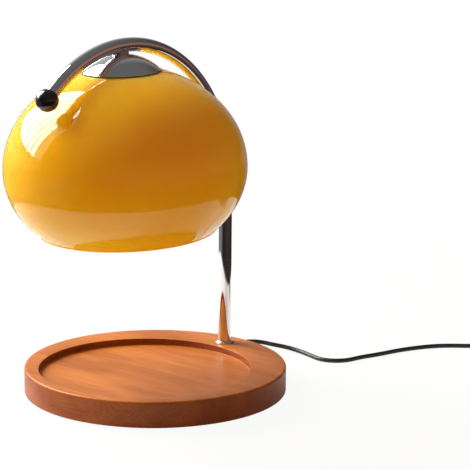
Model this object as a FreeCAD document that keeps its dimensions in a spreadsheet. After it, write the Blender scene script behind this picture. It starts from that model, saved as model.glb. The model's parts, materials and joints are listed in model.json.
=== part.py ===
import FreeCAD, Part
import math
import os
import Sketcher
from FreeCAD import Placement, Rotation, Vector

# Candle warmer lamp: a turned wooden base with a candle recess, a bent chrome tube that stands at
# the back and arches over the top, and a glass shade with a halogen bulb hung under the tube.
# Frame: millimetres, +Z up, origin at the centre of the underside. The column stands at +Y and
# the free end of the tube, with its ball, points to -Y.
# "Head" pieces are drawn along their own Z axis, which starts at the centre of the tube's arc and
# runs out along a radius, so that the whole head hangs square to the tube.

doc = FreeCAD.newDocument("candle_warmer_lamp")
sheet = doc.addObject("Spreadsheet::Sheet", "dims")

SIZES = (
    # wooden base
    ("base_diameter", 195),
    ("wood_height", 19),
    ("base_round", 1.6),
    ("base_chamfer", 0.8),
    ("rim_front", 7.5),
    ("rim_back", 30.5),
    ("recess_depth", 5),
    ("pad_inset", 3.5),
    ("pad_thickness", 1),
    ("plate_inset", 7),
    ("plate_thickness", 3),
    ("plate_clearance", 0.4),
    ("plate_screw_inset", 22.5),
    ("plate_screw_diameter", 3.5),
    ("plate_screw_head", 6.6),
    ("plate_screw_length", 9),
    ("wiring_pocket_width", 62),
    ("wiring_pocket_length", 40),
    ("wiring_pocket_gap", 5.5),
    ("wiring_pocket_depth", 7.5),
    ("nut_pocket_diameter", 24),
    ("nut_pocket_depth", 9),
    ("fit", 0.1),
    # tube and what clamps it
    ("column_inset", 18),
    ("tube_diameter", 10),
    ("tube_wall", 1),
    ("tube_end_gap", 3),
    ("arc_radius", 110),
    ("arc_height", 150),
    ("collar_diameter", 14.4),
    ("collar_top_diameter", 13),
    ("collar_height", 2),
    ("collar_lip", 0.9),
    ("arm_washer_diameter", 20),
    ("arm_washer_thickness", 1.5),
    ("arm_nut_across", 14),
    ("arm_nut_height", 4),
    ("ball_diameter", 16),
    ("ball_angle", 45),
    ("ball_seat", 5.4),
    ("ball_clearance", 0.3),
    ("stud_diameter", 5),
    ("stud_in_ball", 3),
    ("stud_in_tube", 12),
    ("plug_start", 6.2),
    ("plug_end", 15),
    # head: neck, cap and shade
    ("head_angle", 3.2),
    ("neck_diameter", 12),
    ("neck_wrap", 1.6),
    ("nipple_diameter", 8),
    ("nipple_bore", 5.5),
    ("nipple_length", 29.5),
    ("cap_radius", 28.5),
    ("cap_height", 12),
    ("cap_wall", 1),
    ("shade_radius", 87.5),
    ("shade_rise", 73),
    ("shade_drop", 66.5),
    ("shade_hang", 87.7),
    ("shade_wall", 3),
    ("mouth_radius", 64),
    ("rim_round", 0.9),
    ("glass_hole_radius", 21),
    ("clamp_plate_radius", 27),
    ("clamp_plate_thickness", 1.2),
    ("clamp_gap", 0.5),
    ("shade_nut_across", 13),
    ("shade_nut_height", 4),
    ("star_washer_thickness", 0.8),
    # lampholder and bulb
    ("bracket_width", 14),
    ("bracket_sheet", 1.2),
    ("bracket_inside", 19),
    ("bracket_drop", 9),
    ("bracket_foot", 6.4),
    ("holder_radius", 16.5),
    ("holder_height", 17),
    ("holder_floor", 2.6),
    ("holder_chamber_radius", 8.6),
    ("holder_chamber_depth", 8),
    ("holder_screw_diameter", 3),
    ("holder_screw_length", 9),
    ("pin_circle_radius", 5),
    ("pin_diameter", 3),
    ("pin_head_diameter", 4.8),
    ("pin_head_height", 3),
    ("pin_shank", 3.4),
    ("bulb_turn", 40),
    ("bulb_base_radius", 11),
    ("bulb_base_height", 12),
    ("bulb_base_taper", 1),
    ("bulb_face_radius", 25),
    ("bulb_reflector_height", 33),
    ("bulb_wall", 1.4),
    ("bulb_glass_thickness", 2),
    ("bulb_gap", 0.3),
    ("capsule_radius", 4.5),
    ("capsule_length", 16),
    # wiring in the base and the tube
    ("lead_diameter", 1.8),
    ("lead_spacing", 2.4),
    ("lead_bend", 2.6),
    ("terminal_length", 14),
    ("terminal_width", 18),
    ("terminal_height", 6.5),
    ("terminal_inset", 32),
    ("terminal_screw_diameter", 3.4),
    ("cord_side", 18),
    ("cord_exit_height", 8),
    ("cord_diameter", 3.5),
    ("cord_bore_diameter", 8),
    ("relief_length", 20),
    ("relief_inside", 2),
    ("relief_neck", 7.6),
    ("relief_flange", 11),
    ("relief_flange_thickness", 1.8),
    ("relief_tip", 4.8),
    ("clamp_bridge_length", 22),
    ("clamp_bridge_width", 7),
    ("clamp_bridge_height", 2),
    ("clamp_sink", 1),
    ("clamp_inset", 10),
    ("clamp_screw_diameter", 2.9),
    ("clamp_screw_length", 6),
    # free cord: the base radius that its route was laid for
    ("route_datum", 97.5),
    # in-line dimmer
    ("dimmer_length", 70),
    ("dimmer_width", 30),
    ("dimmer_split", 9),
    ("dimmer_height", 18),
    ("dimmer_wall", 1.8),
    ("dimmer_corner", 11),
    ("dimmer_edge", 1.6),
    ("dimmer_bearing", 42.5),
    ("dimmer_screw_wall", 2.4),
    ("dimmer_x", 167.5),
    ("dimmer_y", 301),
    ("dimmer_cord_height", 6),
    ("knob_diameter", 21),
    ("knob_height", 6.5),
    ("knob_gap", 0.4),
    ("knob_shaft", 6),
    ("knob_flutes", 18),
    ("pot_diameter", 16),
    ("board_length", 44),
    ("board_width", 22),
    ("board_thickness", 1.6),
    ("dimmer_screw_spacing", 60),
    ("dimmer_screw_diameter", 2.6),
    # coil and plug
    ("coil_x", 199),
    ("coil_y", 264),
    ("coil_radius", 20),
    ("coil_columns", 4),
    ("coil_layers", 3),
    ("tie_width", 8),
    ("tie_thickness", 0.9),
    ("plug_x", 164),
    ("plug_y", 236.5),
    ("plug_length", 27),
    ("plug_width", 22),
    ("plug_height", 13),
    ("plug_round", 3),
    ("plug_pin_length", 17),
    ("plug_pin_width", 6.3),
    ("plug_pin_thickness", 1.5),
    ("plug_pin_spacing", 12.7),
)

for row, (alias, number) in enumerate(SIZES, start=1):
    sheet.set(f"A{row}", alias)
    sheet.set(f"B{row}", str(number))
    sheet.setAlias(f"B{row}", alias)
doc.recompute()


class Size:
    """A number and the formula that ties it to the spreadsheet."""

    def __init__(self, value, formula=None):
        self.value = float(value)
        self.formula = formula or f"({self.value!r})"

    def joined(self, sign, other, value):
        return Size(value, f"({self.formula} {sign} {other.formula})")

    def __add__(self, other):
        other = sized(other)
        return self.joined("+", other, self.value + other.value)

    def __sub__(self, other):
        other = sized(other)
        return self.joined("-", other, self.value - other.value)

    def __mul__(self, other):
        other = sized(other)
        return self.joined("*", other, self.value * other.value)

    def __truediv__(self, other):
        other = sized(other)
        return self.joined("/", other, self.value / other.value)

    def __radd__(self, other):
        return sized(other) + self

    def __rsub__(self, other):
        return sized(other) - self

    def __rmul__(self, other):
        return sized(other) * self

    def __neg__(self):
        return sized(0) - self


def sized(number):
    return number if isinstance(number, Size) else Size(number)


def root(size):
    return Size(math.sqrt(size.value), f"sqrt({size.formula})")


def sine(angle):
    return Size(math.sin(math.radians(angle.value)), f"sin({angle.formula})")


def cosine(angle):
    return Size(math.cos(math.radians(angle.value)), f"cos({angle.formula})")


class Dims:
    """Reads a driving size by its alias."""

    def __getattr__(self, alias):
        return Size(sheet.get(alias), f"dims.{alias}")


d = Dims()
X_AXIS = Vector(1, 0, 0)
Y_AXIS = Vector(0, 1, 0)
Z_AXIS = Vector(0, 0, 1)
UPRIGHT = Rotation()
DEGREES_PER_RADIAN = 180 / math.pi
ACROSS_TO_CORNER = 1 / math.sqrt(3)

# ---------------------------------------------------------------- helpers for building

pieces = {}


def bind(thing, **properties):
    for name, number in properties.items():
        number = sized(number)
        setattr(thing, name, number.value)
        if "dims." in number.formula:
            thing.setExpression(name, number.formula)
    return thing


def place(thing, at=(0, 0, 0), turn=UPRIGHT):
    """Put a thing at a point whose coordinates follow the sheet."""
    at = [sized(number) for number in at]
    thing.Placement = Placement(Vector(*[number.value for number in at]), turn)
    for axis, number in zip("xyz", at):
        if "dims." in number.formula:
            thing.setExpression(f"Placement.Base.{axis}", number.formula)
    return thing


def lean(thing, angle):
    """Tie the angle of a turn that is already set to the sheet."""
    thing.setExpression("Placement.Rotation.Angle", angle.formula)
    return thing


def cylinder(name, radius, height, at=(0, 0, 0), turn=UPRIGHT, angle=360):
    made = bind(doc.addObject("Part::Cylinder", name), Radius=radius, Height=height, Angle=angle)
    return place(made, at, turn)


def cone(name, low_radius, high_radius, height, at=(0, 0, 0), turn=UPRIGHT):
    made = bind(doc.addObject("Part::Cone", name), Radius1=low_radius, Radius2=high_radius, Height=height)
    return place(made, at, turn)


def sphere(name, radius, at=(0, 0, 0)):
    return place(bind(doc.addObject("Part::Sphere", name), Radius=radius), at)


def block(name, length, width, height, at=(0, 0, 0), turn=UPRIGHT):
    """A box centred on its place in X and Y, standing on it in Z."""
    made = bind(doc.addObject("Part::Box", name), Length=length, Width=width, Height=height)
    at = [sized(number) for number in at]
    if turn.isIdentity():
        return place(made, (at[0] - sized(length) / 2, at[1] - sized(width) / 2, at[2]))
    raise ValueError("a block is turned with the piece it belongs to")


def hexagon(name, across, height, at=(0, 0, 0)):
    made = doc.addObject("Part::Prism", name)
    made.Polygon = 6
    return place(bind(made, Circumradius=sized(across) * ACROSS_TO_CORNER, Height=height), at)


def fuse(name, *shapes):
    made = doc.addObject("Part::MultiFuse", name)
    made.Shapes = list(shapes)
    return made


def group(name, *shapes):
    made = doc.addObject("Part::Compound", name)
    made.Links = list(shapes)
    return made


def cut(name, base, *tools):
    made = doc.addObject("Part::Cut", name)
    made.Base = base
    made.Tool = tools[0] if len(tools) == 1 else fuse(name + "_tools", *tools)
    return made


def common(name, first, second):
    made = doc.addObject("Part::Common", name)
    made.Base = first
    made.Tool = second
    return made


def rounded(name, base, radius, wanted):
    """Fillet the edges of base that the wanted function picks."""
    doc.recompute()
    chosen = [number for number, edge in enumerate(base.Shape.Edges, start=1) if wanted(edge)]
    if not chosen:
        raise ValueError(f"{name}: no edge to round")
    made = doc.addObject("Part::Fillet", name)
    made.Base = base
    made.Edges = [(number, radius.value, radius.value) for number in chosen]
    return made


def piece(label, thing):
    """Register a finished piece under the name of its node."""
    thing.Label = label
    pieces[label] = thing
    return thing


def ring(name, outer_radius, inner_radius, height, at=(0, 0, 0)):
    bore = cylinder(name + "_bore", inner_radius, height, at)
    return cut(name, cylinder(name + "_disc", outer_radius, height, at), bore)


def sketch_on(body, name, role, offset=(0, 0, 0)):
    made = body.newObject("Sketcher::SketchObject", name)
    plane = [feature for feature in body.Origin.OriginFeatures if feature.Role == role][0]
    made.AttachmentSupport = [(plane, "")]
    made.MapMode = "FlatFace"
    offset = [sized(number) for number in offset]
    made.AttachmentOffset = Placement(Vector(*[number.value for number in offset]), UPRIGHT)
    for axis, number in zip("xyz", offset):
        if "dims." in number.formula:
            made.setExpression(f"AttachmentOffset.Base.{axis}", number.formula)
    return made


def tie(sketch, kind, *where):
    """Add a constraint whose last value follows the sheet."""
    number = sized(where[-1])
    index = sketch.addConstraint(Sketcher.Constraint(kind, *where[:-1], number.value))
    if "dims." in number.formula:
        sketch.setExpression(f"Constraints[{index}]", number.formula)


def draw_circle(sketch, radius, x=0, y=0):
    centre = Vector(sized(x).value, sized(y).value, 0)
    index = sketch.addGeometry(Part.Circle(centre, Z_AXIS, sized(radius).value), False)
    tie(sketch, "DistanceX", -1, 1, index, 3, x)
    tie(sketch, "DistanceY", -1, 1, index, 3, y)
    tie(sketch, "Radius", index, radius)


def draw_outline(sketch, corners):
    """Draw a closed outline of straight lines, each corner tied to the sheet."""
    corners = [(sized(x), sized(y)) for x, y in corners]
    points = [Vector(x.value, y.value, 0) for x, y in corners]
    first = sketch.GeometryCount
    for start, end in zip(points, points[1:] + points[:1]):
        sketch.addGeometry(Part.LineSegment(start, end), False)
    for number in range(len(points)):
        following = first + (number + 1) % len(points)
        sketch.addConstraint(Sketcher.Constraint("Coincident", first + number, 2, following, 1))
    for number, (x, y) in enumerate(corners, start=first):
        tie(sketch, "DistanceX", -1, 1, number, 1, x)
        tie(sketch, "DistanceY", -1, 1, number, 1, y)


def draw_rectangle(sketch, length, width, x=0, y=0):
    half_length = sized(length) / 2
    half_width = sized(width) / 2
    x = sized(x)
    y = sized(y)
    low = (x - half_length, y - half_width)
    high = (x + half_length, y + half_width)
    draw_outline(sketch, [low, (high[0], low[1]), high, (low[0], high[1])])


def new_body(name):
    return doc.addObject("PartDesign::Body", name)


def pad(body, sketch, height):
    made = body.newObject("PartDesign::Pad", sketch.Name + "_pad")
    made.Profile = sketch
    bind(made, Length=height)
    sketch.Visibility = False
    doc.recompute()
    return made


def pocket(body, sketch, depth, upward=False):
    """Cut a pocket and make sure that it took material away."""
    before = body.Shape.Volume
    made = body.newObject("PartDesign::Pocket", sketch.Name + "_pocket")
    made.Profile = sketch
    made.Reversed = upward
    bind(made, Length=depth)
    doc.recompute()
    if not body.Shape.Volume < before:
        raise ValueError(f"{made.Name} cuts nothing")
    return made


def soften(body, kind, radius, wanted):
    """Round or chamfer the edges of a body that the wanted function picks."""
    doc.recompute()
    tip = body.Tip
    names = [f"Edge{n}" for n, edge in enumerate(tip.Shape.Edges, start=1) if wanted(edge)]
    if not names:
        raise ValueError(f"{body.Name}: no edge to soften")
    made = body.newObject(f"PartDesign::{kind}", f"{body.Name}_{kind.lower()}")
    made.Base = (tip, names)
    if kind == "Fillet":
        bind(made, Radius=radius)
    else:
        bind(made, Size=radius)
    body.Tip = made
    doc.recompute()
    return made


def turned(name, outline, at=(0, 0, 0), turn=UPRIGHT):
    """A lathe-turned body: an outline of (radius, height) corners turned about its Z axis."""
    body = new_body(name)
    sketch = sketch_on(body, name + "_outline", "XZ_Plane")
    draw_outline(sketch, outline)
    made = body.newObject("PartDesign::Revolution", name + "_turn")
    made.Profile = sketch
    made.ReferenceAxis = (sketch, ["V_Axis"])
    made.Angle = 360
    sketch.Visibility = False
    return place(body, at, turn)


def circle_at(radius, height, slack=0.02):
    """Picks circular edges by radius and height."""
    radius = sized(radius).value
    height = sized(height).value

    def wanted(edge):
        curve = edge.Curve
        return (
            isinstance(curve, Part.Circle)
            and abs(curve.Radius - radius) < slack
            and abs(curve.Center.z - height) < slack
        )

    return wanted


# ---------------------------------------------------------------- shared places

half_fit = d.fit / 2
recess_diameter = d.base_diameter - d.rim_front - d.rim_back
recess_offset = (d.rim_back - d.rim_front) / 2
pad_radius = d.base_diameter / 2 - d.pad_inset
plate_radius = d.base_diameter / 2 - d.plate_inset
wood_bottom = d.pad_thickness
base_top = wood_bottom + d.wood_height
plate_top = wood_bottom + d.plate_thickness
nut_pocket_top = plate_top + d.nut_pocket_depth
wiring_pocket_top = plate_top + d.wiring_pocket_depth
tube_radius = d.tube_diameter / 2
bore_radius = tube_radius - d.tube_wall
column_y = d.base_diameter / 2 - d.column_inset
arc_y = column_y - d.arc_radius
tube_end = plate_top + d.tube_end_gap
pocket_end = column_y - d.wiring_pocket_gap
terminal_y = pocket_end - d.terminal_inset
clamp_y = pocket_end - d.clamp_inset
shade_equator = d.arc_radius - d.shade_hang
# the free cord, with all that is on it, moves with the base's edge
cord_shift = d.base_diameter / 2 - d.route_datum


def hang(thing):
    """Place a head piece: its Z axis is the radius of the arc at the head's angle."""
    place(thing, (0, arc_y, d.arc_height), Rotation(X_AXIS, d.head_angle.value))
    return lean(thing, d.head_angle)


def shade_height(radius, inward=0):
    """Height along the head axis of the glass's upper face at a radius; inward is its depth."""
    radius = sized(radius)
    share = radius / (d.shade_radius - inward)
    return shade_equator + (d.shade_rise - inward) * root(1 - share * share)


# ---------------------------------------------------------------- wooden base


def make_wood_base():
    body = new_body("wood_base")
    disc = sketch_on(body, "base_disc", "XY_Plane")
    draw_circle(disc, d.base_diameter / 2)
    pad(body, disc, d.wood_height)
    recess = sketch_on(body, "recess", "XY_Plane", (0, 0, d.wood_height))
    draw_circle(recess, recess_diameter / 2, 0, -recess_offset)
    pocket(body, recess, d.recess_depth)
    rebate = sketch_on(body, "plate_rebate", "XY_Plane")
    draw_circle(rebate, plate_radius + d.plate_clearance)
    pocket(body, rebate, d.plate_thickness, upward=True)
    wiring = sketch_on(body, "wiring_pocket", "XY_Plane")
    middle = pocket_end - d.wiring_pocket_length / 2
    draw_rectangle(wiring, d.wiring_pocket_width, d.wiring_pocket_length, 0, middle)
    pocket(body, wiring, d.plate_thickness + d.wiring_pocket_depth, upward=True)
    nut = sketch_on(body, "nut_pocket", "XY_Plane")
    draw_circle(nut, d.nut_pocket_diameter / 2, 0, column_y)
    pocket(body, nut, d.plate_thickness + d.nut_pocket_depth, upward=True)
    hole = sketch_on(body, "column_hole", "XY_Plane")
    draw_circle(hole, tube_radius + d.fit, 0, column_y)
    pocket(body, hole, d.wood_height, upward=True)
    bore = sketch_on(body, "cord_bore", "XZ_Plane", (0, 0, -terminal_y))
    draw_circle(bore, d.cord_bore_diameter / 2, -d.cord_side, d.cord_exit_height - wood_bottom)
    pocket(body, bore, d.base_diameter / 2)
    screws = sketch_on(body, "screw_holes", "XY_Plane")
    for x, y in plate_screw_places():
        draw_circle(screws, d.plate_screw_diameter / 2 + half_fit, x, y)
    pocket(body, screws, d.plate_screw_length + d.plate_clearance, upward=True)
    clamps = sketch_on(body, "clamp_holes", "XY_Plane")
    for x in clamp_screw_places():
        draw_circle(clamps, d.clamp_screw_diameter / 2 + half_fit, x, clamp_y)
    clamp_depth = d.wiring_pocket_depth + d.plate_thickness + d.clamp_screw_length / 3
    pocket(body, clamps, clamp_depth, upward=True)
    soften(body, "Fillet", d.base_round, circle_at(d.base_diameter / 2, d.wood_height))
    soften(body, "Chamfer", d.base_chamfer, circle_at(d.base_diameter / 2, 0))
    return piece("wood_base", place(body, (0, 0, wood_bottom)))


def plate_screw_places():
    reach = (d.base_diameter / 2 - d.plate_screw_inset) * math.sqrt(0.5)
    return [(reach, reach), (-reach, reach), (-reach, -reach), (reach, -reach)]


def clamp_screw_places():
    reach = (d.clamp_bridge_length - d.clamp_bridge_width) / 2
    return [-d.cord_side - reach, -d.cord_side + reach]


def make_base_plate():
    disc = cylinder("plate_disc", plate_radius, d.plate_thickness, (0, 0, wood_bottom))
    holes = []
    head = d.plate_screw_head / 2
    shank = d.plate_screw_diameter / 2
    for number, (x, y) in enumerate(plate_screw_places()):
        at = (x, y, wood_bottom)
        holes.append(cylinder(f"plate_hole_{number}", shank + half_fit, d.plate_thickness, at))
        holes.append(cone(f"plate_sink_{number}", head + half_fit, shank + half_fit, head - shank, at))
    return piece("base_plate", cut("base_plate", disc, *holes))


def make_plate_screws():
    screws = []
    head = d.plate_screw_head / 2
    shank = d.plate_screw_diameter / 2
    tip = d.plate_screw_length
    outline = [
        (0.0, half_fit),
        (head - half_fit, half_fit),
        (shank, head - shank + half_fit),
        (shank, tip - shank),
        (shank / 4, tip),
        (0.0, tip),
    ]
    for number, (x, y) in enumerate(plate_screw_places()):
        screws.append(turned(f"plate_screw_{number}", outline, (x, y, wood_bottom)))
    return piece("plate_screws", group("plate_screws", *screws))


def make_base_pad():
    disc = cylinder("base_pad", pad_radius, d.pad_thickness)
    return piece("base_pad", disc)


# ---------------------------------------------------------------- tube and its fixings

# The tube's arc lies in the YZ plane: this turn lays a torus there, starting at +Y and rising.
ARC_TURN = Rotation(Vector(1, 1, 1), 120)


def arc(name, radius, sweep):
    made = doc.addObject("Part::Torus", name)
    bind(made, Radius1=d.arc_radius, Radius2=radius, Angle3=sweep)
    return place(made, (0, arc_y, d.arc_height), ARC_TURN)


def in_ball_frame(thing):
    """Place a piece at the ball: its Z axis runs from the ball's centre into the tube."""
    bearing = d.ball_angle + 90
    centre_y = arc_y + d.arc_radius * cosine(bearing)
    centre_z = d.arc_height + d.arc_radius * sine(bearing)
    tip = 90 - d.ball_angle
    place(thing, (0, centre_y, centre_z), Rotation(-X_AXIS, tip.value))
    return lean(thing, tip)


arm_sweep = d.ball_angle + 90 - d.ball_seat / d.arc_radius * DEGREES_PER_RADIAN
column_length = d.arc_height - tube_end


def make_arm_tube():
    foot = (0, column_y, tube_end)
    outside = fuse(
        "arm_outside",
        cylinder("arm_column", tube_radius, column_length, foot),
        arc("arm_arc", tube_radius, arm_sweep),
    )
    inside = fuse(
        "arm_inside",
        cylinder("arm_column_bore", bore_radius, column_length, foot),
        arc("arm_arc_bore", bore_radius, arm_sweep),
    )
    hole_start = d.arc_radius - tube_radius - d.tube_wall
    hole = cylinder("arm_lead_hole", d.nipple_bore / 2, tube_radius, (0, 0, hole_start))
    return piece("arm_tube", cut("arm_tube", outside, inside, hang(group("arm_lead_hole_hung", hole))))


def make_foot_collar():
    inner = tube_radius + half_fit
    outline = [
        (inner, 0.0),
        (d.collar_diameter / 2 - d.collar_lip / 3, 0.0),
        (d.collar_diameter / 2, d.collar_lip / 3),
        (d.collar_diameter / 2, d.collar_lip),
        (d.collar_top_diameter / 2, d.collar_lip),
        (d.collar_top_diameter / 2, d.collar_height - d.collar_lip / 2),
        (d.collar_top_diameter / 2 - d.collar_lip / 2, d.collar_height),
        (inner, d.collar_height),
    ]
    return piece("foot_collar", turned("foot_collar", outline, (0, column_y, base_top)))


def make_arm_fixings():
    washer_bottom = nut_pocket_top - d.arm_washer_thickness
    nut_bottom = washer_bottom - d.arm_nut_height
    at = (0, column_y, washer_bottom)
    inner = tube_radius + half_fit
    piece("arm_washer", ring("arm_washer", d.arm_washer_diameter / 2, inner, d.arm_washer_thickness, at))
    at = (0, column_y, nut_bottom)
    nut = hexagon("arm_nut_blank", d.arm_nut_across, d.arm_nut_height, at)
    piece("arm_nut", cut("arm_nut", nut, cylinder("arm_nut_bore", inner, d.arm_nut_height, at)))


def make_ball():
    ball = sphere("ball_blank", d.ball_diameter / 2)
    floor = d.ball_seat - d.ball_clearance
    socket = cylinder("ball_socket", tube_radius + d.ball_clearance, d.ball_diameter, (0, 0, floor))
    hole_at = (0, 0, -d.stud_in_ball - d.fit)
    hole = cylinder("ball_hole", d.stud_diameter / 2 + half_fit, d.ball_diameter, hole_at)
    piece("ball_finial", in_ball_frame(cut("ball_finial", ball, socket, hole)))
    stud_length = d.stud_in_ball + d.stud_in_tube
    stud = cylinder("stud_bar", d.stud_diameter / 2, stud_length, (0, 0, -d.stud_in_ball))
    piece("finial_stud", in_ball_frame(group("finial_stud", stud)))


def make_finial_plug():
    slug = arc("plug_arc", bore_radius - half_fit, arm_sweep)
    start = cylinder("plug_length_blank", d.ball_diameter, d.plug_end - d.plug_start, (0, 0, d.plug_start))
    bore = cylinder("plug_bore", d.stud_diameter / 2 + half_fit, d.plug_end, (0, 0, 0))
    reach = in_ball_frame(cut("plug_reach", start, bore))
    return piece("finial_plug", common("finial_plug", slug, reach))


# ---------------------------------------------------------------- neck, cap and shade

neck_top = d.arc_radius - tube_radius
cap_seat_radius = d.cap_radius - d.cap_wall * 1.5
cap_base = shade_height(cap_seat_radius) + d.fit * 3
cap_curve = (d.cap_radius * d.cap_radius + d.cap_height * d.cap_height) / (2 * d.cap_height)
cap_centre = cap_base + d.cap_height - cap_curve
cap_land = cap_centre + root(cap_curve * cap_curve - d.neck_diameter * d.neck_diameter / 4)
plate_face = shade_height(d.clamp_plate_radius, d.shade_wall) - d.clamp_gap
plate_back = plate_face - d.clamp_plate_thickness
star_back = plate_back - d.star_washer_thickness
shade_nut_back = star_back - d.shade_nut_height
bracket_back = shade_nut_back - d.bracket_sheet
nipple_radius = d.nipple_diameter / 2


def tube_cope(name):
    """The tube's outline as seen from the head, to shape what seats on it."""
    made = doc.addObject("Part::Torus", name)
    bind(made, Radius1=d.arc_radius, Radius2=tube_radius + half_fit)
    return place(made, (0, 0, 0), ARC_TURN)


def make_neck():
    saddle_height = neck_top + d.neck_wrap - cap_land
    inner = nipple_radius + half_fit
    saddle = ring("saddle_blank", d.neck_diameter / 2, inner, saddle_height, (0, 0, cap_land))
    piece("neck_saddle", hang(cut("neck_saddle", saddle, tube_cope("saddle_cope"))))
    length = d.nipple_length + d.neck_wrap
    start = neck_top - d.nipple_length
    nipple = ring("nipple_blank", nipple_radius, d.nipple_bore / 2, length, (0, 0, start))
    piece("neck_nipple", hang(cut("neck_nipple", nipple, tube_cope("nipple_cope"))))


def make_cap():
    height = d.cap_height
    trim = cylinder("cap_trim", d.cap_radius, height, (0, 0, cap_base))
    dome = common("cap_dome", sphere("cap_ball", cap_curve, (0, 0, cap_centre)), trim)
    inside = sphere("cap_inside", cap_curve - d.cap_wall, (0, 0, cap_centre))
    hole = cylinder("cap_hole", nipple_radius + half_fit, height * 2, (0, 0, cap_base))
    land = cylinder("cap_land", d.neck_diameter / 2 + d.fit, height, (0, 0, cap_land))
    return piece("shade_cap", hang(cut("shade_cap", dome, inside, hole, land)))


def make_cap_gasket():
    inner = cap_seat_radius + half_fit
    outer = d.cap_radius - half_fit
    outline = [
        (inner, shade_height(inner) + d.fit),
        (outer, shade_height(outer) + d.fit),
        (outer, cap_base - half_fit),
        (inner, cap_base - half_fit),
    ]
    return piece("cap_gasket", hang(turned("cap_gasket", outline)))


def half_ellipsoid(name, inward, upper):
    made = doc.addObject("Part::Ellipsoid", name)
    height = (d.shade_rise if upper else d.shade_drop) - inward
    bind(made, Radius1=height, Radius2=d.shade_radius - inward, Radius3=d.shade_radius - inward)
    made.Angle1 = 0 if upper else -90
    made.Angle2 = 90 if upper else 0
    return place(made, (0, 0, shade_equator))


def make_shade():
    halves = (half_ellipsoid("glass_top", 0, True), half_ellipsoid("glass_low", 0, False))
    outside = fuse("glass_outside", *halves)
    inside = fuse(
        "glass_inside",
        half_ellipsoid("glass_top_in", d.shade_wall, True),
        half_ellipsoid("glass_low_in", d.shade_wall, False),
    )
    share = d.mouth_radius / d.shade_radius
    depth = d.shade_drop * root(1 - share * share)
    low = shade_equator - d.shade_drop - d.shade_wall
    mouth = cylinder("glass_mouth", d.shade_radius, d.shade_drop + d.shade_wall - depth, (0, 0, low))
    hole = cylinder("glass_hole", d.glass_hole_radius, d.shade_rise * 2, (0, 0, shade_equator))
    shell = cut("glass_shell", outside, inside, mouth, hole)
    rim_height = (shade_equator - depth).value

    def on_rim(edge):
        box = edge.BoundBox
        return abs(box.ZMax - rim_height) < 0.05 and abs(box.ZMin - rim_height) < 0.05

    return piece("glass_shade", hang(rounded("glass_shade", shell, d.rim_round, on_rim)))


def make_shade_clamp():
    inner = d.glass_hole_radius + half_fit
    outer = d.clamp_plate_radius - half_fit
    outline = [
        (inner, plate_face + half_fit),
        (outer, plate_face + half_fit),
        (outer, shade_height(outer, d.shade_wall) - d.fit),
        (inner, shade_height(inner, d.shade_wall) - d.fit),
    ]
    piece("clamp_gasket", hang(turned("clamp_gasket", outline)))
    hole = nipple_radius + half_fit
    plate = ring("clamp_plate", d.clamp_plate_radius, hole, d.clamp_plate_thickness, (0, 0, plate_back))
    piece("clamp_plate", hang(plate))
    star = ring("star_washer", d.shade_nut_across / 2, hole, d.star_washer_thickness, (0, 0, star_back))
    piece("star_washer", hang(star))
    nut = hexagon("shade_nut_blank", d.shade_nut_across, d.shade_nut_height, (0, 0, shade_nut_back))
    bore = cylinder("shade_nut_bore", hole, d.shade_nut_height, (0, 0, shade_nut_back))
    piece("shade_nut", hang(cut("shade_nut", nut, bore)))
    back = bracket_back - d.shade_nut_height
    nut = hexagon("bracket_nut_blank", d.shade_nut_across, d.shade_nut_height, (0, 0, back))
    bore = cylinder("bracket_nut_bore", hole, d.shade_nut_height, (0, 0, back))
    piece("bracket_nut", hang(cut("bracket_nut", nut, bore)))


# ---------------------------------------------------------------- lampholder and bulb

foot_face = bracket_back - d.bracket_drop
holder_top = foot_face - d.bracket_sheet
holder_bottom = holder_top - d.holder_height
bracket_outside = d.bracket_inside / 2 + d.bracket_sheet
screw_reach = bracket_outside + d.bracket_foot / 2


def make_bracket():
    """An upside-down hat of sheet steel: crown on the nipple, feet on the lampholder."""
    crown_at = (0, 0, bracket_back)
    crown = block("bracket_crown", bracket_outside * 2, d.bracket_width, d.bracket_sheet, crown_at)
    parts = [crown]
    holes = [cylinder("bracket_hole", nipple_radius + half_fit, d.bracket_sheet, (0, 0, bracket_back))]
    leg_middle = (d.bracket_inside + d.bracket_sheet) / 2
    foot_middle = bracket_outside + d.bracket_foot / 2 - d.bracket_sheet
    for name, side in (("left", -1), ("right", 1)):
        leg_at = (leg_middle * side, 0, holder_top)
        foot_at = (foot_middle * side, 0, holder_top)
        leg_height = d.bracket_drop + d.bracket_sheet
        parts.append(block(f"bracket_leg_{name}", d.bracket_sheet, d.bracket_width, leg_height, leg_at))
        foot_length = d.bracket_foot + d.bracket_sheet
        parts.append(block(f"bracket_foot_{name}", foot_length, d.bracket_width, d.bracket_sheet, foot_at))
        hole_radius = d.holder_screw_diameter / 2 + half_fit
        at = (screw_reach * side, 0, holder_top)
        holes.append(cylinder(f"bracket_screw_hole_{name}", hole_radius, d.bracket_sheet, at))
    return piece("holder_bracket", hang(cut("holder_bracket", fuse("bracket_blank", *parts), *holes)))


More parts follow.
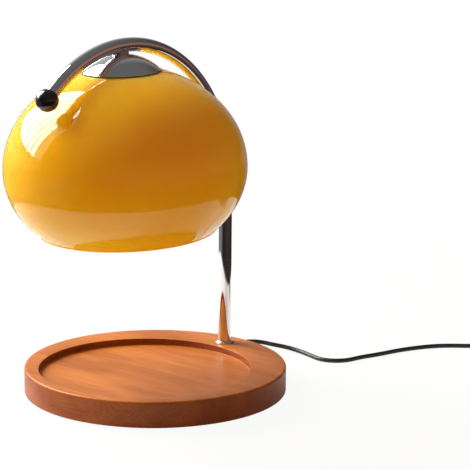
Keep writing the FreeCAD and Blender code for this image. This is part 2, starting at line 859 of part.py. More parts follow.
def make_holder():
    """A ceramic holder: two keyhole slots in its floor take the bulb's headed pins."""
    blank = cylinder("holder_blank", d.holder_radius, d.holder_height, (0, 0, holder_bottom))
    chamber_at = (0, 0, holder_bottom + d.holder_floor)
    tools = [cylinder("holder_chamber", d.holder_chamber_radius, d.holder_chamber_depth, chamber_at)]
    half_slot = d.pin_diameter / 2 + d.bulb_gap
    entry = d.pin_head_diameter / 2 + d.bulb_gap
    floor_at = (0, 0, holder_bottom)
    reach = d.pin_circle_radius
    # each slot runs back from the pin's locked place to its entry hole, clockwise seen from above
    for number, side, axis, start in ((0, 1, -Z_AXIS, d.bulb_turn), (1, -1, Z_AXIS, 180 - d.bulb_turn)):
        turn = Rotation(axis, start.value)
        outer = reach + half_slot
        wide = cylinder(f"slot_outer_{number}", outer, d.holder_floor, floor_at, turn, d.bulb_turn)
        core = cylinder(f"slot_inner_{number}", reach - half_slot, d.holder_floor, floor_at)
        tools.append(cut(f"slot_{number}", lean(wide, start), core))
        locked = (reach * side, 0, holder_bottom)
        tools.append(cylinder(f"slot_end_{number}", half_slot, d.holder_floor, locked))
        opened = (reach * cosine(d.bulb_turn) * side, -reach * sine(d.bulb_turn) * side, holder_bottom)
        tools.append(cylinder(f"slot_entry_{number}", entry, d.holder_floor, opened))
    for name, side in (("left", -1), ("right", 1)):
        lead_at = (d.lead_spacing / 2 * side, 0, holder_bottom + d.holder_floor)
        lead_hole = d.lead_diameter / 2 + half_fit
        tools.append(cylinder(f"holder_lead_{name}", lead_hole, d.holder_height, lead_at))
        depth = d.holder_screw_length
        at = (screw_reach * side, 0, holder_top - depth)
        tools.append(cylinder(f"holder_screw_hole_{name}", d.holder_screw_diameter / 2 + half_fit, depth, at))
    return piece("lampholder", hang(cut("lampholder", blank, *tools)))


def make_holder_screws():
    screws = []
    radius = d.holder_screw_diameter / 2
    below = d.holder_screw_length - half_fit
    outline = [
        (0.0, -below),
        (radius, -below),
        (radius, d.bracket_sheet),
        (radius * 1.8, d.bracket_sheet),
        (radius * 1.6, d.bracket_sheet + radius),
        (0.0, d.bracket_sheet + radius),
    ]
    for name, side in (("left", -1), ("right", 1)):
        at = (screw_reach * side, 0, holder_top)
        screws.append(turned(f"holder_screw_{name}", outline, at))
    return piece("holder_screws", hang(group("holder_screws", *screws)))


bulb_shoulder = holder_bottom - d.bulb_gap
bulb_neck = bulb_shoulder - d.bulb_base_height
bulb_rim = bulb_neck - d.bulb_reflector_height


# The reflector's flare: shares of the way out to the face, and down from neck to rim.
BULB_FLARE = ((0, 0), (0.25, 0.18), (0.57, 0.5), (0.86, 0.78), (1, 0.88), (1, 1))


def make_bulb():
    """The bulb hangs down: ceramic base, flared reflector, front glass, capsule and two pins."""
    top_radius = d.bulb_base_radius - d.bulb_base_taper
    base = cone("bulb_base_blank", d.bulb_base_radius, top_radius, d.bulb_base_height, (0, 0, bulb_neck))
    pin_bottom = bulb_shoulder - d.pin_shank
    holes = []
    pins = []
    for number in range(2):
        x = d.pin_circle_radius * (1 - 2 * number)
        radius = d.pin_diameter / 2
        holes.append(cylinder(f"pin_hole_{number}", radius + half_fit, d.pin_shank, (x, 0, pin_bottom)))
        top = holder_bottom + d.holder_floor + d.bulb_gap
        head = d.pin_head_diameter / 2
        outline = [
            (0.0, pin_bottom),
            (radius, pin_bottom),
            (radius, top),
            (head, top),
            (head, top + d.pin_head_height),
            (0.0, top + d.pin_head_height),
        ]
        pins.append(turned(f"bulb_pin_{number}", outline, (x, 0, 0)))
    piece("bulb_base", hang(cut("bulb_base", base, *holes)))
    piece("bulb_pins", hang(group("bulb_pins", *pins)))
    face = d.bulb_face_radius
    wall = d.bulb_wall
    outside = []
    for outward, along in BULB_FLARE:
        radius = d.bulb_base_radius + (face - d.bulb_base_radius) * outward
        outside.append((radius, bulb_neck - d.bulb_reflector_height * along))
    inside = [(radius - wall, height) for radius, height in reversed(outside)]
    outline = outside + inside
    piece("bulb_reflector", hang(turned("bulb_reflector", outline)))
    glass_at = (0, 0, bulb_rim + half_fit)
    glass = cylinder("bulb_disc", face - wall - half_fit, d.bulb_glass_thickness, glass_at)
    piece("bulb_glass", hang(group("bulb_glass", glass)))
    tip = bulb_neck - d.capsule_length
    tube = cylinder("capsule_tube", d.capsule_radius, d.capsule_length, (0, 0, tip))
    end = sphere("capsule_tip", d.capsule_radius, (0, 0, tip))
    piece("bulb_capsule", hang(fuse("bulb_capsule", tube, end)))


# ---------------------------------------------------------------- wiring inside the lamp


def swept(radius, edges):
    """A round bar along tangent lines and arcs."""
    path = Part.Wire(edges)
    first = edges[0]
    start = first.valueAt(first.FirstParameter)
    profile = Part.Wire([Part.makeCircle(radius, start, first.tangentAt(first.FirstParameter))])
    solid = path.makePipeShell([profile], True, False)
    wanted = math.pi * radius * radius * path.Length
    if abs(solid.Volume - wanted) > 0.01 * wanted:
        raise ValueError("a swept bar lost its section")
    return solid


def make_leads():
    """Two insulated leads, from the terminal block up the tube and down to the lampholder."""
    leads = []
    bend = d.lead_bend.value
    radius = d.arc_radius.value
    column = column_y.value
    centre = Vector(0, arc_y.value, d.arc_height.value)
    low = plate_top.value + d.lead_diameter.value / 2 + 2 * d.fit.value
    block_end = terminal_y.value + d.terminal_length.value / 2 + d.fit.value
    neck = math.radians(90 + d.head_angle.value)
    outward = Vector(0, math.cos(neck), math.sin(neck))
    forward = Vector(0, -math.sin(neck), math.cos(neck))
    # the small bend lies inside the arc, tangent to it and to the head's axis
    bend_angle = math.asin(bend / (radius - bend))
    turn_centre = centre - forward * bend + outward * math.sqrt((radius - bend) ** 2 - bend ** 2)
    leave = neck - bend_angle
    leave_out = Vector(0, math.cos(leave), math.sin(leave))
    arc_middle = Vector(0, math.cos(leave / 2), math.sin(leave / 2))
    last = turn_centre + forward * bend
    middle = turn_centre + (leave_out + forward).normalize() * bend
    end = centre + outward * (holder_top.value - d.bracket_sheet.value)
    for name, side in (("left", -1), ("right", 1)):
        aside = Vector(d.lead_spacing.value / 2 * side, 0, 0)
        start = Vector(0, block_end, low)
        foot = Vector(0, column - bend, low)
        slant = bend * math.sqrt(0.5)
        foot_middle = Vector(0, column - bend + slant, low + bend - slant)
        rise = Vector(0, column, low + bend)
        top = Vector(0, column, centre.z)
        halfway = centre + arc_middle * radius
        leaving = centre + leave_out * radius
        edges = [
            Part.LineSegment(start + aside, foot + aside).toShape(),
            Part.Arc(foot + aside, foot_middle + aside, rise + aside).toShape(),
            Part.LineSegment(rise + aside, top + aside).toShape(),
            Part.Arc(top + aside, halfway + aside, leaving + aside).toShape(),
            Part.Arc(leaving + aside, middle + aside, last + aside).toShape(),
            Part.LineSegment(last + aside, end + aside).toShape(),
        ]
        leads.append(swept(d.lead_diameter.value / 2, edges))
    made = doc.addObject("Part::Feature", "arm_leads")
    made.Shape = Part.makeCompound(leads)
    return piece("arm_leads", made)


def make_terminal_block():
    top = wiring_pocket_top - d.terminal_height
    at = (0, terminal_y, top)
    body = block("terminal_body", d.terminal_width, d.terminal_length, d.terminal_height, at)
    holes = []
    screws = []
    radius = d.terminal_screw_diameter / 2
    for column_number, side in enumerate((-1, 1)):
        for row_number, end in enumerate((-1, 1)):
            x = d.terminal_width / 4 * side
            y = terminal_y + d.terminal_length / 4 * end
            depth = d.terminal_height / 2
            name = f"{column_number}{row_number}"
            holes.append(cylinder(f"terminal_hole_{name}", radius + half_fit, depth, (x, y, top)))
            sunk = d.fit * 6
            screws.append(cylinder(f"terminal_screw_{name}", radius, depth - sunk, (x, y, top + sunk)))
    piece("terminal_block", cut("terminal_block", body, *holes))
    piece("terminal_screws", group("terminal_screws", *screws))


def make_cord_fixings():
    """The moulded strain relief in the edge of the base, and the clamp that holds the cord inside."""
    edge_y = root(d.base_diameter * d.base_diameter / 4 - d.cord_side * d.cord_side)
    bore = d.cord_diameter / 2 + half_fit
    inside = edge_y - pocket_end
    # the flange is flat and the base is round, so it starts where it clears the fuller side
    reach = d.cord_side - d.relief_flange / 2
    flange = root(d.base_diameter * d.base_diameter / 4 - reach * reach) - edge_y + d.fit
    outline = [
        (bore, -inside - d.relief_inside),
        (d.relief_neck / 2, -inside - d.relief_inside),
        (d.relief_neck / 2, flange),
        (d.relief_flange / 2, flange),
        (d.relief_flange / 2, flange + d.relief_flange_thickness),
        (d.relief_neck / 2, flange + d.relief_flange_thickness * 1.5),
        (d.relief_tip / 2, d.relief_length),
        (bore, d.relief_length),
    ]
    at = (-d.cord_side, edge_y, d.cord_exit_height)
    piece("strain_relief", turned("strain_relief", outline, at, Rotation(-X_AXIS, 90)))
    bridge_bottom = d.cord_exit_height - d.cord_diameter / 2 - d.clamp_bridge_height
    bridge_at = (-d.cord_side, clamp_y, bridge_bottom)
    bridge = block("clamp_bar", d.clamp_bridge_length, d.clamp_bridge_width, d.clamp_bridge_height, bridge_at)
    holes = []
    screws = []
    radius = d.clamp_screw_diameter / 2
    head = radius * 1.8
    tip = wiring_pocket_top + d.clamp_screw_length / 3 - bridge_bottom - d.fit
    for number, x in enumerate(clamp_screw_places()):
        at = (x, clamp_y, bridge_bottom)
        holes.append(cylinder(f"clamp_hole_{number}", radius + half_fit, d.clamp_bridge_height, at))
        holes.append(cylinder(f"clamp_sink_{number}", head + half_fit, d.clamp_sink + half_fit, at))
        outline = [
            (0.0, half_fit),
            (head, half_fit),
            (head, d.clamp_sink),
            (radius, d.clamp_sink),
            (radius, tip),
            (0.0, tip),
        ]
        screws.append(turned(f"clamp_screw_{number}", outline, at))
    piece("cord_clamp", cut("cord_clamp", bridge, *holes))
    piece("clamp_screws", group("clamp_screws", *screws))


# ---------------------------------------------------------------- free cord

# The points that the cord follows on the table: x, y and height of its middle.
CORD_ROUTE = (
    (-18, 115.9, 8),
    (-17.7, 127.5, 7.6),
    (-10.6, 136.8, 6.7),
    (0.5, 140.5, 5.4),
    (9.5, 146, 3.9),
    (21.5, 147.5, 2.6),
    (35, 144.7, 2),
    (46.5, 141.3, 1.8),
    (57, 144.1, 1.8),
    (65, 153, 1.8),
    (67.3, 167.5, 1.8),
    (73.2, 183.5, 1.8),
    (79, 207.5, 1.8),
    (90.5, 232.5, 1.8),
    (103, 246, 1.8),
    (116.5, 253.8, 2.2),
    (129, 264.8, 4),
    (141.7, 277.4, 6),
)
DIMMER_ROUTE = (
    (193.3, 324.6, 6),
    (203, 333.6, 4.4),
    (215, 338.6, 2.6),
    (226.5, 334, 1.8),
    (232.5, 322.5, 1.8),
    (233, 307, 1.8),
    (229.5, 290, 1.8),
    (226, 276, 1.8),
    (225, 264, 1.8),
)
TAIL_ROUTE = (
    (199, 238, 1.8),
    (190.5, 236.9, 4.2),
    (184, 236.5, 6.3),
    (177.6, 236.5, 6.5),
)


def bent_path(route, name):
    """Straight runs joined by tangent arcs, each as large as its two runs allow."""
    points = [Vector(*point) for point in route]
    radii = []
    edges = []
    here = points[0]
    for before, corner, after in zip(points, points[1:], points[2:]):
        incoming = (corner - before).normalize()
        outgoing = (after - corner).normalize()
        turn = incoming.getAngle(outgoing)
        reach = 0.45 * min((corner - before).Length, (after - corner).Length)
        radii.append(reach / math.tan(turn / 2))
        start = corner - incoming * reach
        end = corner + outgoing * reach
        inward = (outgoing - incoming).normalize()
        bulge = radii[-1] / math.cos(turn / 2) - radii[-1]
        edges.append(Part.LineSegment(here, start).toShape())
        edges.append(Part.Arc(start, corner + inward * bulge, end).toShape())
        here = end
    edges.append(Part.LineSegment(here, points[-1]).toShape())
    print(name, "radii:", " ".join(f"{radius:.0f}" for radius in radii))
    return edges


def make_cords():
    for name, route in (("power_cord", CORD_ROUTE), ("plug_lead", DIMMER_ROUTE), ("cord_tail", TAIL_ROUTE)):
        made = doc.addObject("Part::Feature", name)
        made.Shape = swept(d.cord_diameter.value / 2, bent_path(route, name))
        piece(name, place(made, (0, cord_shift, 0)))


def make_inner_cord():
    """The stretch of the cord inside the base, from the terminal block out through the relief."""
    edge_y = root(d.base_diameter * d.base_diameter / 4 - d.cord_side * d.cord_side)
    start = terminal_y - d.terminal_length / 2
    length = edge_y + d.relief_length - start
    at = (-d.cord_side, start, d.cord_exit_height)
    strands = [cylinder("cord_stretch", d.cord_diameter / 2, length, at, Rotation(-X_AXIS, 90))]
    for name, side in (("near", -1), ("far", 1)):
        at = (-d.cord_side, terminal_y + d.terminal_length / 4 * side, d.cord_exit_height)
        reach = d.cord_side - d.terminal_width / 2 - half_fit
        strands.append(cylinder(f"cord_core_{name}", d.lead_diameter / 2, reach, at, Rotation(Y_AXIS, 90)))
    return piece("inner_cord", fuse("inner_cord", *strands))


def make_coil():
    across = d.coil_columns * d.cord_diameter / 2
    height = d.coil_layers * d.cord_diameter
    at = (d.coil_x, d.coil_y + cord_shift, 0)
    coil = ring("cord_coil", d.coil_radius + across, d.coil_radius - across, height, at)
    piece("cord_coil", coil)
    thick = d.tie_thickness
    gap = half_fit
    hole = d.coil_radius - across
    sag = hole - root(hole * hole - d.tie_width * d.tie_width / 4)
    middle = (d.coil_x - d.coil_radius + sag / 2, d.coil_y + cord_shift, 0)
    span = across * 2 + sag + gap * 2
    outer = block("tie_outer", span + thick * 2, d.tie_width, height + thick + gap, middle)
    inner = block("tie_inner", span, d.tie_width, height + gap, middle)
    piece("coil_tie", cut("coil_tie", outer, inner))


# ---------------------------------------------------------------- in-line dimmer


def at_dimmer(thing):
    place(thing, (d.dimmer_x, d.dimmer_y + cord_shift, 0), Rotation(Z_AXIS, d.dimmer_bearing.value))
    return lean(thing, d.dimmer_bearing)


def dimmer_shell(name, low, high, open_up):
    """Half of the housing: a rounded tray whose solid ends take the screws."""
    body = new_body(name)
    tray = sketch_on(body, name + "_plan", "XY_Plane", (0, 0, low))
    draw_rectangle(tray, d.dimmer_length, d.dimmer_width)
    height = sized(high) - low
    pad(body, tray, height)

    def upright(edge):
        return edge.BoundBox.ZLength > height.value - 0.01

    soften(body, "Fillet", d.dimmer_corner, upright)
    outer_face = sized(low).value if open_up else sized(high).value

    def on_outer_face(edge):
        return abs(edge.BoundBox.ZMin - outer_face) < 0.01 and abs(edge.BoundBox.ZMax - outer_face) < 0.01

    soften(body, "Fillet", d.dimmer_edge, on_outer_face)
    hollow_at = sized(low) + d.dimmer_wall if open_up else sized(low)
    hollow = sketch_on(body, name + "_hollow", "XY_Plane", (0, 0, hollow_at))
    room = d.dimmer_screw_spacing - d.dimmer_screw_diameter - d.dimmer_screw_wall * 2
    draw_rectangle(hollow, room, d.dimmer_width - d.dimmer_wall * 2)
    pocket(body, hollow, height - d.dimmer_wall, upward=True)
    return body


def make_dimmer():
    lower = dimmer_shell("dimmer_lower_body", 0, d.dimmer_split, True)
    upper = dimmer_shell("dimmer_upper_body", d.dimmer_split, d.dimmer_height, False)
    cord_hole = []
    for number, side in enumerate((-1, 1)):
        for half in ("lower", "upper"):
            x = d.dimmer_length / 2 * side - d.dimmer_length / 4
            at = (x, 0, d.dimmer_cord_height)
            radius = d.cord_diameter / 2 + half_fit
            name = f"dimmer_cord_{half}_{number}"
            cord_hole.append(cylinder(name, radius, d.dimmer_length / 2, at, Rotation(Y_AXIS, 90)))
    lower_holes = []
    upper_holes = []
    screws = []
    radius = d.dimmer_screw_diameter / 2
    head = radius * 1.9
    outline = [
        (0.0, d.fit),
        (head, d.fit),
        (head, d.dimmer_wall / 2),
        (radius, d.dimmer_wall / 2),
        (radius, d.dimmer_height - d.dimmer_wall * 1.5),
        (0.0, d.dimmer_height - d.dimmer_wall * 1.5),
    ]
    for number, side in enumerate((-1, 1)):
        x = d.dimmer_screw_spacing / 2 * side
        y = d.dimmer_width / 4 * side
        lower_holes.append(cylinder(f"dimmer_hole_{number}", radius + half_fit, d.dimmer_split, (x, y, 0)))
        sink_depth = d.dimmer_wall / 2 + half_fit
        lower_holes.append(cylinder(f"dimmer_sink_{number}", head + half_fit, sink_depth, (x, y, 0)))
        reach = d.dimmer_height - d.dimmer_wall * 1.5 - d.dimmer_split + half_fit
        pilot_at = (x, y, d.dimmer_split)
        upper_holes.append(cylinder(f"dimmer_pilot_{number}", radius + half_fit, reach, pilot_at))
        screws.append(turned(f"dimmer_screw_{number}", outline, (x, y, 0)))
    shaft_at = (0, 0, d.dimmer_split)
    shaft_hole = cylinder("dimmer_shaft_hole", d.knob_shaft / 2 + d.knob_gap, d.dimmer_height, shaft_at)
    piece("dimmer_lower", at_dimmer(cut("dimmer_lower", lower, *(cord_hole[::2] + lower_holes))))
    piece("dimmer_upper", at_dimmer(cut("dimmer_upper", upper, shaft_hole, *(cord_hole[1::2] + upper_holes))))
    piece("dimmer_screws", at_dimmer(group("dimmer_screws", *screws)))
    board_at = (0, 0, d.dimmer_cord_height + d.cord_diameter)
    board = block("dimmer_board_plate", d.board_length, d.board_width, d.board_thickness, board_at)
    pot_at = (0, 0, d.dimmer_cord_height + d.cord_diameter + d.board_thickness)
    room = d.dimmer_height - d.dimmer_wall - d.fit - pot_at[2]
    pot_well = cylinder("pot_well", d.knob_shaft / 2 + d.knob_gap, d.dimmer_height, board_at)
    pot = cylinder("dimmer_pot_can", d.pot_diameter / 2, room, pot_at)
    piece("dimmer_board", at_dimmer(cut("dimmer_board", fuse("board_and_pot", board, pot), pot_well)))
    knob_bottom = d.dimmer_height + d.knob_gap
    knob = cylinder("knob_blank", d.knob_diameter / 2, d.knob_height, (0, 0, knob_bottom))
    flutes = []
    count = int(d.knob_flutes.value)
    for number in range(count):
        bearing = math.radians(360 / count * number)
        reach = d.knob_diameter / 2 + d.knob_gap
        at = (reach * math.cos(bearing), reach * math.sin(bearing), knob_bottom)
        flutes.append(cylinder(f"knob_flute_{number}", d.knob_gap * 3, d.knob_height, at))
    pointer_at = (d.knob_diameter / 2 - d.knob_height / 2, 0, knob_bottom + d.knob_height - d.knob_gap)
    pointer = block("knob_pointer", d.knob_height, d.knob_gap * 3, d.knob_gap, pointer_at)
    shaft_bottom = board_at[2] + d.knob_gap
    shaft = cylinder("knob_shaft_bar", d.knob_shaft / 2, knob_bottom - shaft_bottom, (0, 0, shaft_bottom))
    wheel = fuse("knob_whole", cut("knob_fluted", knob, pointer, *flutes), shaft)
    piece("dimmer_knob", at_dimmer(wheel))


# ---------------------------------------------------------------- plug


def make_plug():
    body = new_body("plug_block")
    plan = sketch_on(body, "plug_plan", "XY_Plane")
    draw_rectangle(plan, d.plug_length, d.plug_width)
    pad(body, plan, d.plug_height)
    soften(body, "Fillet", d.plug_round, lambda edge: edge.BoundBox.ZLength > d.plug_height.value - 0.01)
    place(body, (d.plug_x, d.plug_y + cord_shift, 0))
    pin_x = d.plug_x - d.plug_length / 2
    root_depth = d.plug_length / 3
    slots = []
    pins = []
    middle = d.plug_height / 2
    for name, side in (("left", -1), ("right", 1)):
        y = d.plug_y + cord_shift + d.plug_pin_spacing / 2 * side
        length = d.plug_pin_length + root_depth
        x = pin_x + root_depth - length / 2
        at = (x, y, middle - d.plug_pin_width / 2)
        pins.append(block(f"pin_{name}", length, d.plug_pin_thickness, d.plug_pin_width, at))
        slot_at = (x, y, middle - d.plug_pin_width / 2 - half_fit)
        slot_width = d.plug_pin_thickness + d.fit
        slot_height = d.plug_pin_width + d.fit
        slots.append(block(f"pin_slot_{name}", length + d.fit, slot_width, slot_height, slot_at))
    piece("plug_body", cut("plug_body", body, *slots))
    piece("plug_pins", group("plug_pins", *pins))


# ---------------------------------------------------------------- build, check and export

make_wood_base()
make_base_pad()
make_base_plate()
make_plate_screws()
make_arm_tube()
make_foot_collar()
make_arm_fixings()
make_ball()
make_finial_plug()
make_neck()
make_cap()
make_cap_gasket()
make_shade()
make_shade_clamp()
make_bracket()
make_holder()
make_holder_screws()
make_bulb()
make_leads()
make_terminal_block()
make_cord_fixings()
make_inner_cord()
make_cords()
make_coil()
make_dimmer()
make_plug()

doc.recompute()

for thing in doc.Objects:
    if "Invalid" in thing.State or "Error" in thing.State:
        raise ValueError(f"{thing.Name} failed: {thing.State}")

os.makedirs("parts", exist_ok=True)
for label, thing in pieces.items():
    shape = thing.Shape
    if shape.isNull() or not shape.isValid():
        raise ValueError(f"{label} has a bad shape")
    print(f"{label}: {len(shape.Solids)} solid(s), {shape.Volume / 1000:.2f} cm3")
    shape.exportStep(f"parts/{label}.step")
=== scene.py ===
import json
import math

import bmesh
import bpy
from mathutils import Matrix, Vector


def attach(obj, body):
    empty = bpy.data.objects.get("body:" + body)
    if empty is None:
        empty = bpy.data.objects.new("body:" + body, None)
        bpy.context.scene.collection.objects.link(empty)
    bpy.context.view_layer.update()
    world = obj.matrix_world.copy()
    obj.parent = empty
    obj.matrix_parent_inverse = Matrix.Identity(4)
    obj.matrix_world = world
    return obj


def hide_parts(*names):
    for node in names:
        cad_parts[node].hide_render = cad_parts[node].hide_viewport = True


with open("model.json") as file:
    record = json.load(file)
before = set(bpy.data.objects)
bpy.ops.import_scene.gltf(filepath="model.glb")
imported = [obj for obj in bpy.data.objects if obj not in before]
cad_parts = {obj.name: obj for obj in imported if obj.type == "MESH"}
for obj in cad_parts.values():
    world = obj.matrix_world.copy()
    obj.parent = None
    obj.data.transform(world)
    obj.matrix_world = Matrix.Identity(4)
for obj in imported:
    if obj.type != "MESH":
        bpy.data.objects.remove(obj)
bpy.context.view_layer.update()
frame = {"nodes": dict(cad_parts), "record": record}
nodes = frame["nodes"]
scene = bpy.context.scene
MM = 0.001                          # cords and shapes are in millimetres, the rest in metres

# ---------------------------------------------------------------- camera

FRAME_PIXELS = 470
FOCAL_PIXELS = 1768.7
SENSOR_MM = 36
BEARING = math.radians(42.5)        # of the view, from +Y
RISE = math.radians(16.08)          # of the lens over the base's top
ROLL = math.radians(-0.22)
DISTANCE = 1.326                    # from the centre of the base's top
BASE_TOP = Vector((0, 0, 0.020))
BASE_PIXEL = (155.32, 363.01)       # where that centre shows


def make_camera():
    """A camera set so that the centre of the base's top falls on its pixel."""
    data = bpy.data.cameras.new("photo_camera")
    data.sensor_width = SENSOR_MM
    data.lens = FOCAL_PIXELS * SENSOR_MM / FRAME_PIXELS
    data.clip_start = 0.05
    data.clip_end = 30
    camera = bpy.data.objects.new("photo_camera", data)
    scene.collection.objects.link(camera)
    scene.camera = camera
    place = Vector((0, -DISTANCE * math.cos(RISE), DISTANCE * math.sin(RISE)))
    ahead = -place.normalized()
    right = Vector((1, 0, 0))
    across = (BASE_PIXEL[0] - FRAME_PIXELS / 2) / FOCAL_PIXELS
    down = (BASE_PIXEL[1] - FRAME_PIXELS / 2) / FOCAL_PIXELS
    ray = Vector((across, -down, 1)).normalized()
    yaw = Matrix.Rotation(math.atan2(ray.x, ray.z), 3, right.cross(ahead))
    ahead = yaw @ ahead
    right = yaw @ right
    ahead = Matrix.Rotation(-math.asin(ray.y), 3, right) @ ahead
    up = right.cross(ahead)
    turned_right = right * math.cos(ROLL) + up * math.sin(ROLL)
    turned_up = up * math.cos(ROLL) - right * math.sin(ROLL)
    axes = Matrix((turned_right, turned_up, -ahead)).transposed()
    bearing = Matrix.Rotation(BEARING, 3, "Z")
    camera.matrix_world = Matrix.Translation(bearing @ place + BASE_TOP) @ (bearing @ axes).to_4x4()
    return camera


camera = make_camera()

# ---------------------------------------------------------------- cords

CORD_DIAMETER = 3.5
CORD_ROUTE = (
    (-18, 115.9, 8),
    (-17.7, 127.5, 7.6),
    (-10.6, 136.8, 6.7),
    (0.5, 140.5, 5.4),
    (9.5, 146, 3.9),
    (21.5, 147.5, 2.6),
    (35, 144.7, 2),
    (46.5, 141.3, 1.8),
    (57, 144.1, 1.8),
    (65, 153, 1.8),
    (67.3, 167.5, 1.8),
    (73.2, 183.5, 1.8),
    (79, 207.5, 1.8),
    (90.5, 232.5, 1.8),
    (103, 246, 1.8),
    (116.5, 253.8, 2.2),
    (129, 264.8, 4),
    (141.7, 277.4, 6),
)
DIMMER_ROUTE = (
    (193.3, 324.6, 6),
    (203, 333.6, 4.4),
    (215, 338.6, 2.6),
    (226.5, 334, 1.8),
    (232.5, 322.5, 1.8),
    (233, 307, 1.8),
    (229.5, 290, 1.8),
    (226, 276, 1.8),
)
TAIL_ROUTE = (
    (190.5, 236.9, 5.6),
    (184, 236.5, 6.4),
    (177.6, 236.5, 6.5),
)
COIL_CENTRE = (199, 264)
COIL_INNER = 14.75                  # radius of the innermost turn's middle
COIL_LOW = 1.8                      # height of the lowest turn's middle
COIL_STEP = 30                      # degrees between control points
CROSSING = 3                        # steps that a turn takes to cross to the next place
SPLINE_CUT = 1 / math.cos(math.radians(COIL_STEP / 2))   # the spline runs inside its control points
# Column, counted outwards, layer, counted upwards, and control points of each turn. The turns go
# in along the floor and come out above.
COIL_PLACES = (
    (3, 0, 12), (2, 0, 12), (1, 0, 12), (0, 0, 11),
    (0, 1, 11), (0, 2, 11), (1, 2, 11), (1, 1, 11),
    (2, 1, 11), (2, 2, 11), (3, 2, 11), (3, 1, 12),
)


def coil_points():
    """Control points of the coil's turns. A turn crosses to the next place over its last steps.
    The upper turns end a step short of a full circle, so that their crossings fall apart."""
    points = []
    bearing = 0
    for number, (column, layer, steps) in enumerate(COIL_PLACES):
        next_column, next_layer = COIL_PLACES[min(number + 1, len(COIL_PLACES) - 1)][:2]
        for step in range(steps):
            share = max(0, step - steps + CROSSING) / CROSSING
            across = column + (next_column - column) * share
            radius = (COIL_INNER + across * CORD_DIAMETER) * SPLINE_CUT
            height = COIL_LOW + (layer + (next_layer - layer) * share) * CORD_DIAMETER
            angle = math.radians(bearing)
            x = COIL_CENTRE[0] + radius * math.cos(angle)
            y = COIL_CENTRE[1] + radius * math.sin(angle)
            points.append((x, y, height))
            bearing -= COIL_STEP
    return points


def make_cord(name, points):
    """A round cord along control points in millimetres."""
    curve = bpy.data.curves.new(name, "CURVE")
    curve.dimensions = "3D"
    curve.bevel_depth = 1           # each point carries the radius, so the box fits as well
    curve.bevel_resolution = 6
    curve.resolution_u = 8
    curve.use_fill_caps = True
    spline = curve.splines.new("NURBS")
    spline.points.add(len(points) - 1)
    for control, (x, y, z) in zip(spline.points, points):
        control.co = (x * MM, y * MM, z * MM, 1)
        control.radius = CORD_DIAMETER / 2 * MM
    spline.order_u = 3
    spline.use_endpoint_u = True
    made = bpy.data.objects.new(name, curve)
    scene.collection.objects.link(made)
    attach(made, "lamp")
    return made


supply = make_cord("supply_cord", CORD_ROUTE)
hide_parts("power_cord")
plug_cord = make_cord("plug_cord", (*DIMMER_ROUTE, *coil_points(), *TAIL_ROUTE))
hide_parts("plug_lead", "cord_coil", "cord_tail")

# ---------------------------------------------------------------- node helpers


class Nodes:
    """Short calls to add and link the nodes of a tree."""

    def __init__(self, tree):
        self.tree = tree

    def add(self, kind, **values):
        node = self.tree.nodes.new(kind)
        for key, value in values.items():
            if hasattr(node, key):
                setattr(node, key, value)
            else:
                node.inputs[key].default_value = value
        return node

    def link(self, start, end):
        self.tree.links.new(start, end)

    def feed(self, value, target):
        """Link a socket to an input, or set the input to a plain number or colour."""
        if isinstance(value, bpy.types.NodeSocket):
            self.link(value, target)
        elif isinstance(value, (int, float)):
            target.default_value = value
        else:
            target.default_value = (*value, 1)

    def math(self, operation, *values):
        node = self.add("ShaderNodeMath", operation=operation)
        for value, target in zip(values, node.inputs):
            self.feed(value, target)
        return node.outputs[0]

    def either(self, factor, first, second):
        """A mix of two shaders."""
        node = self.add("ShaderNodeMixShader")
        for value, target in zip((factor, first, second), node.inputs):
            self.link(value, target)
        return node.outputs[0]

    def emission(self, color, strength):
        node = self.add("ShaderNodeEmission")
        self.feed(color, node.inputs["Color"])
        self.feed(strength, node.inputs["Strength"])
        return node.outputs[0]

    def span(self, factor, low, high, start=0.0, end=1.0, **values):
        """A factor mapped from start..end to low..high."""
        limits = {"From Min": start, "From Max": end, "To Min": low, "To Max": high}
        node = self.add("ShaderNodeMapRange", **limits, **values)
        self.link(factor, node.inputs["Value"])
        return node.outputs["Result"]

    def ramp(self, factor, *stops):
        """Colours along a factor. A stop is (position, colour)."""
        node = self.add("ShaderNodeValToRGB")
        elements = node.color_ramp.elements
        while len(elements) < len(stops):
            elements.new(0.5)
        for element, (position, color) in zip(elements, stops):
            element.position = position
            element.color = (*color, 1)
        self.link(factor, node.inputs["Fac"])
        return node.outputs["Color"]


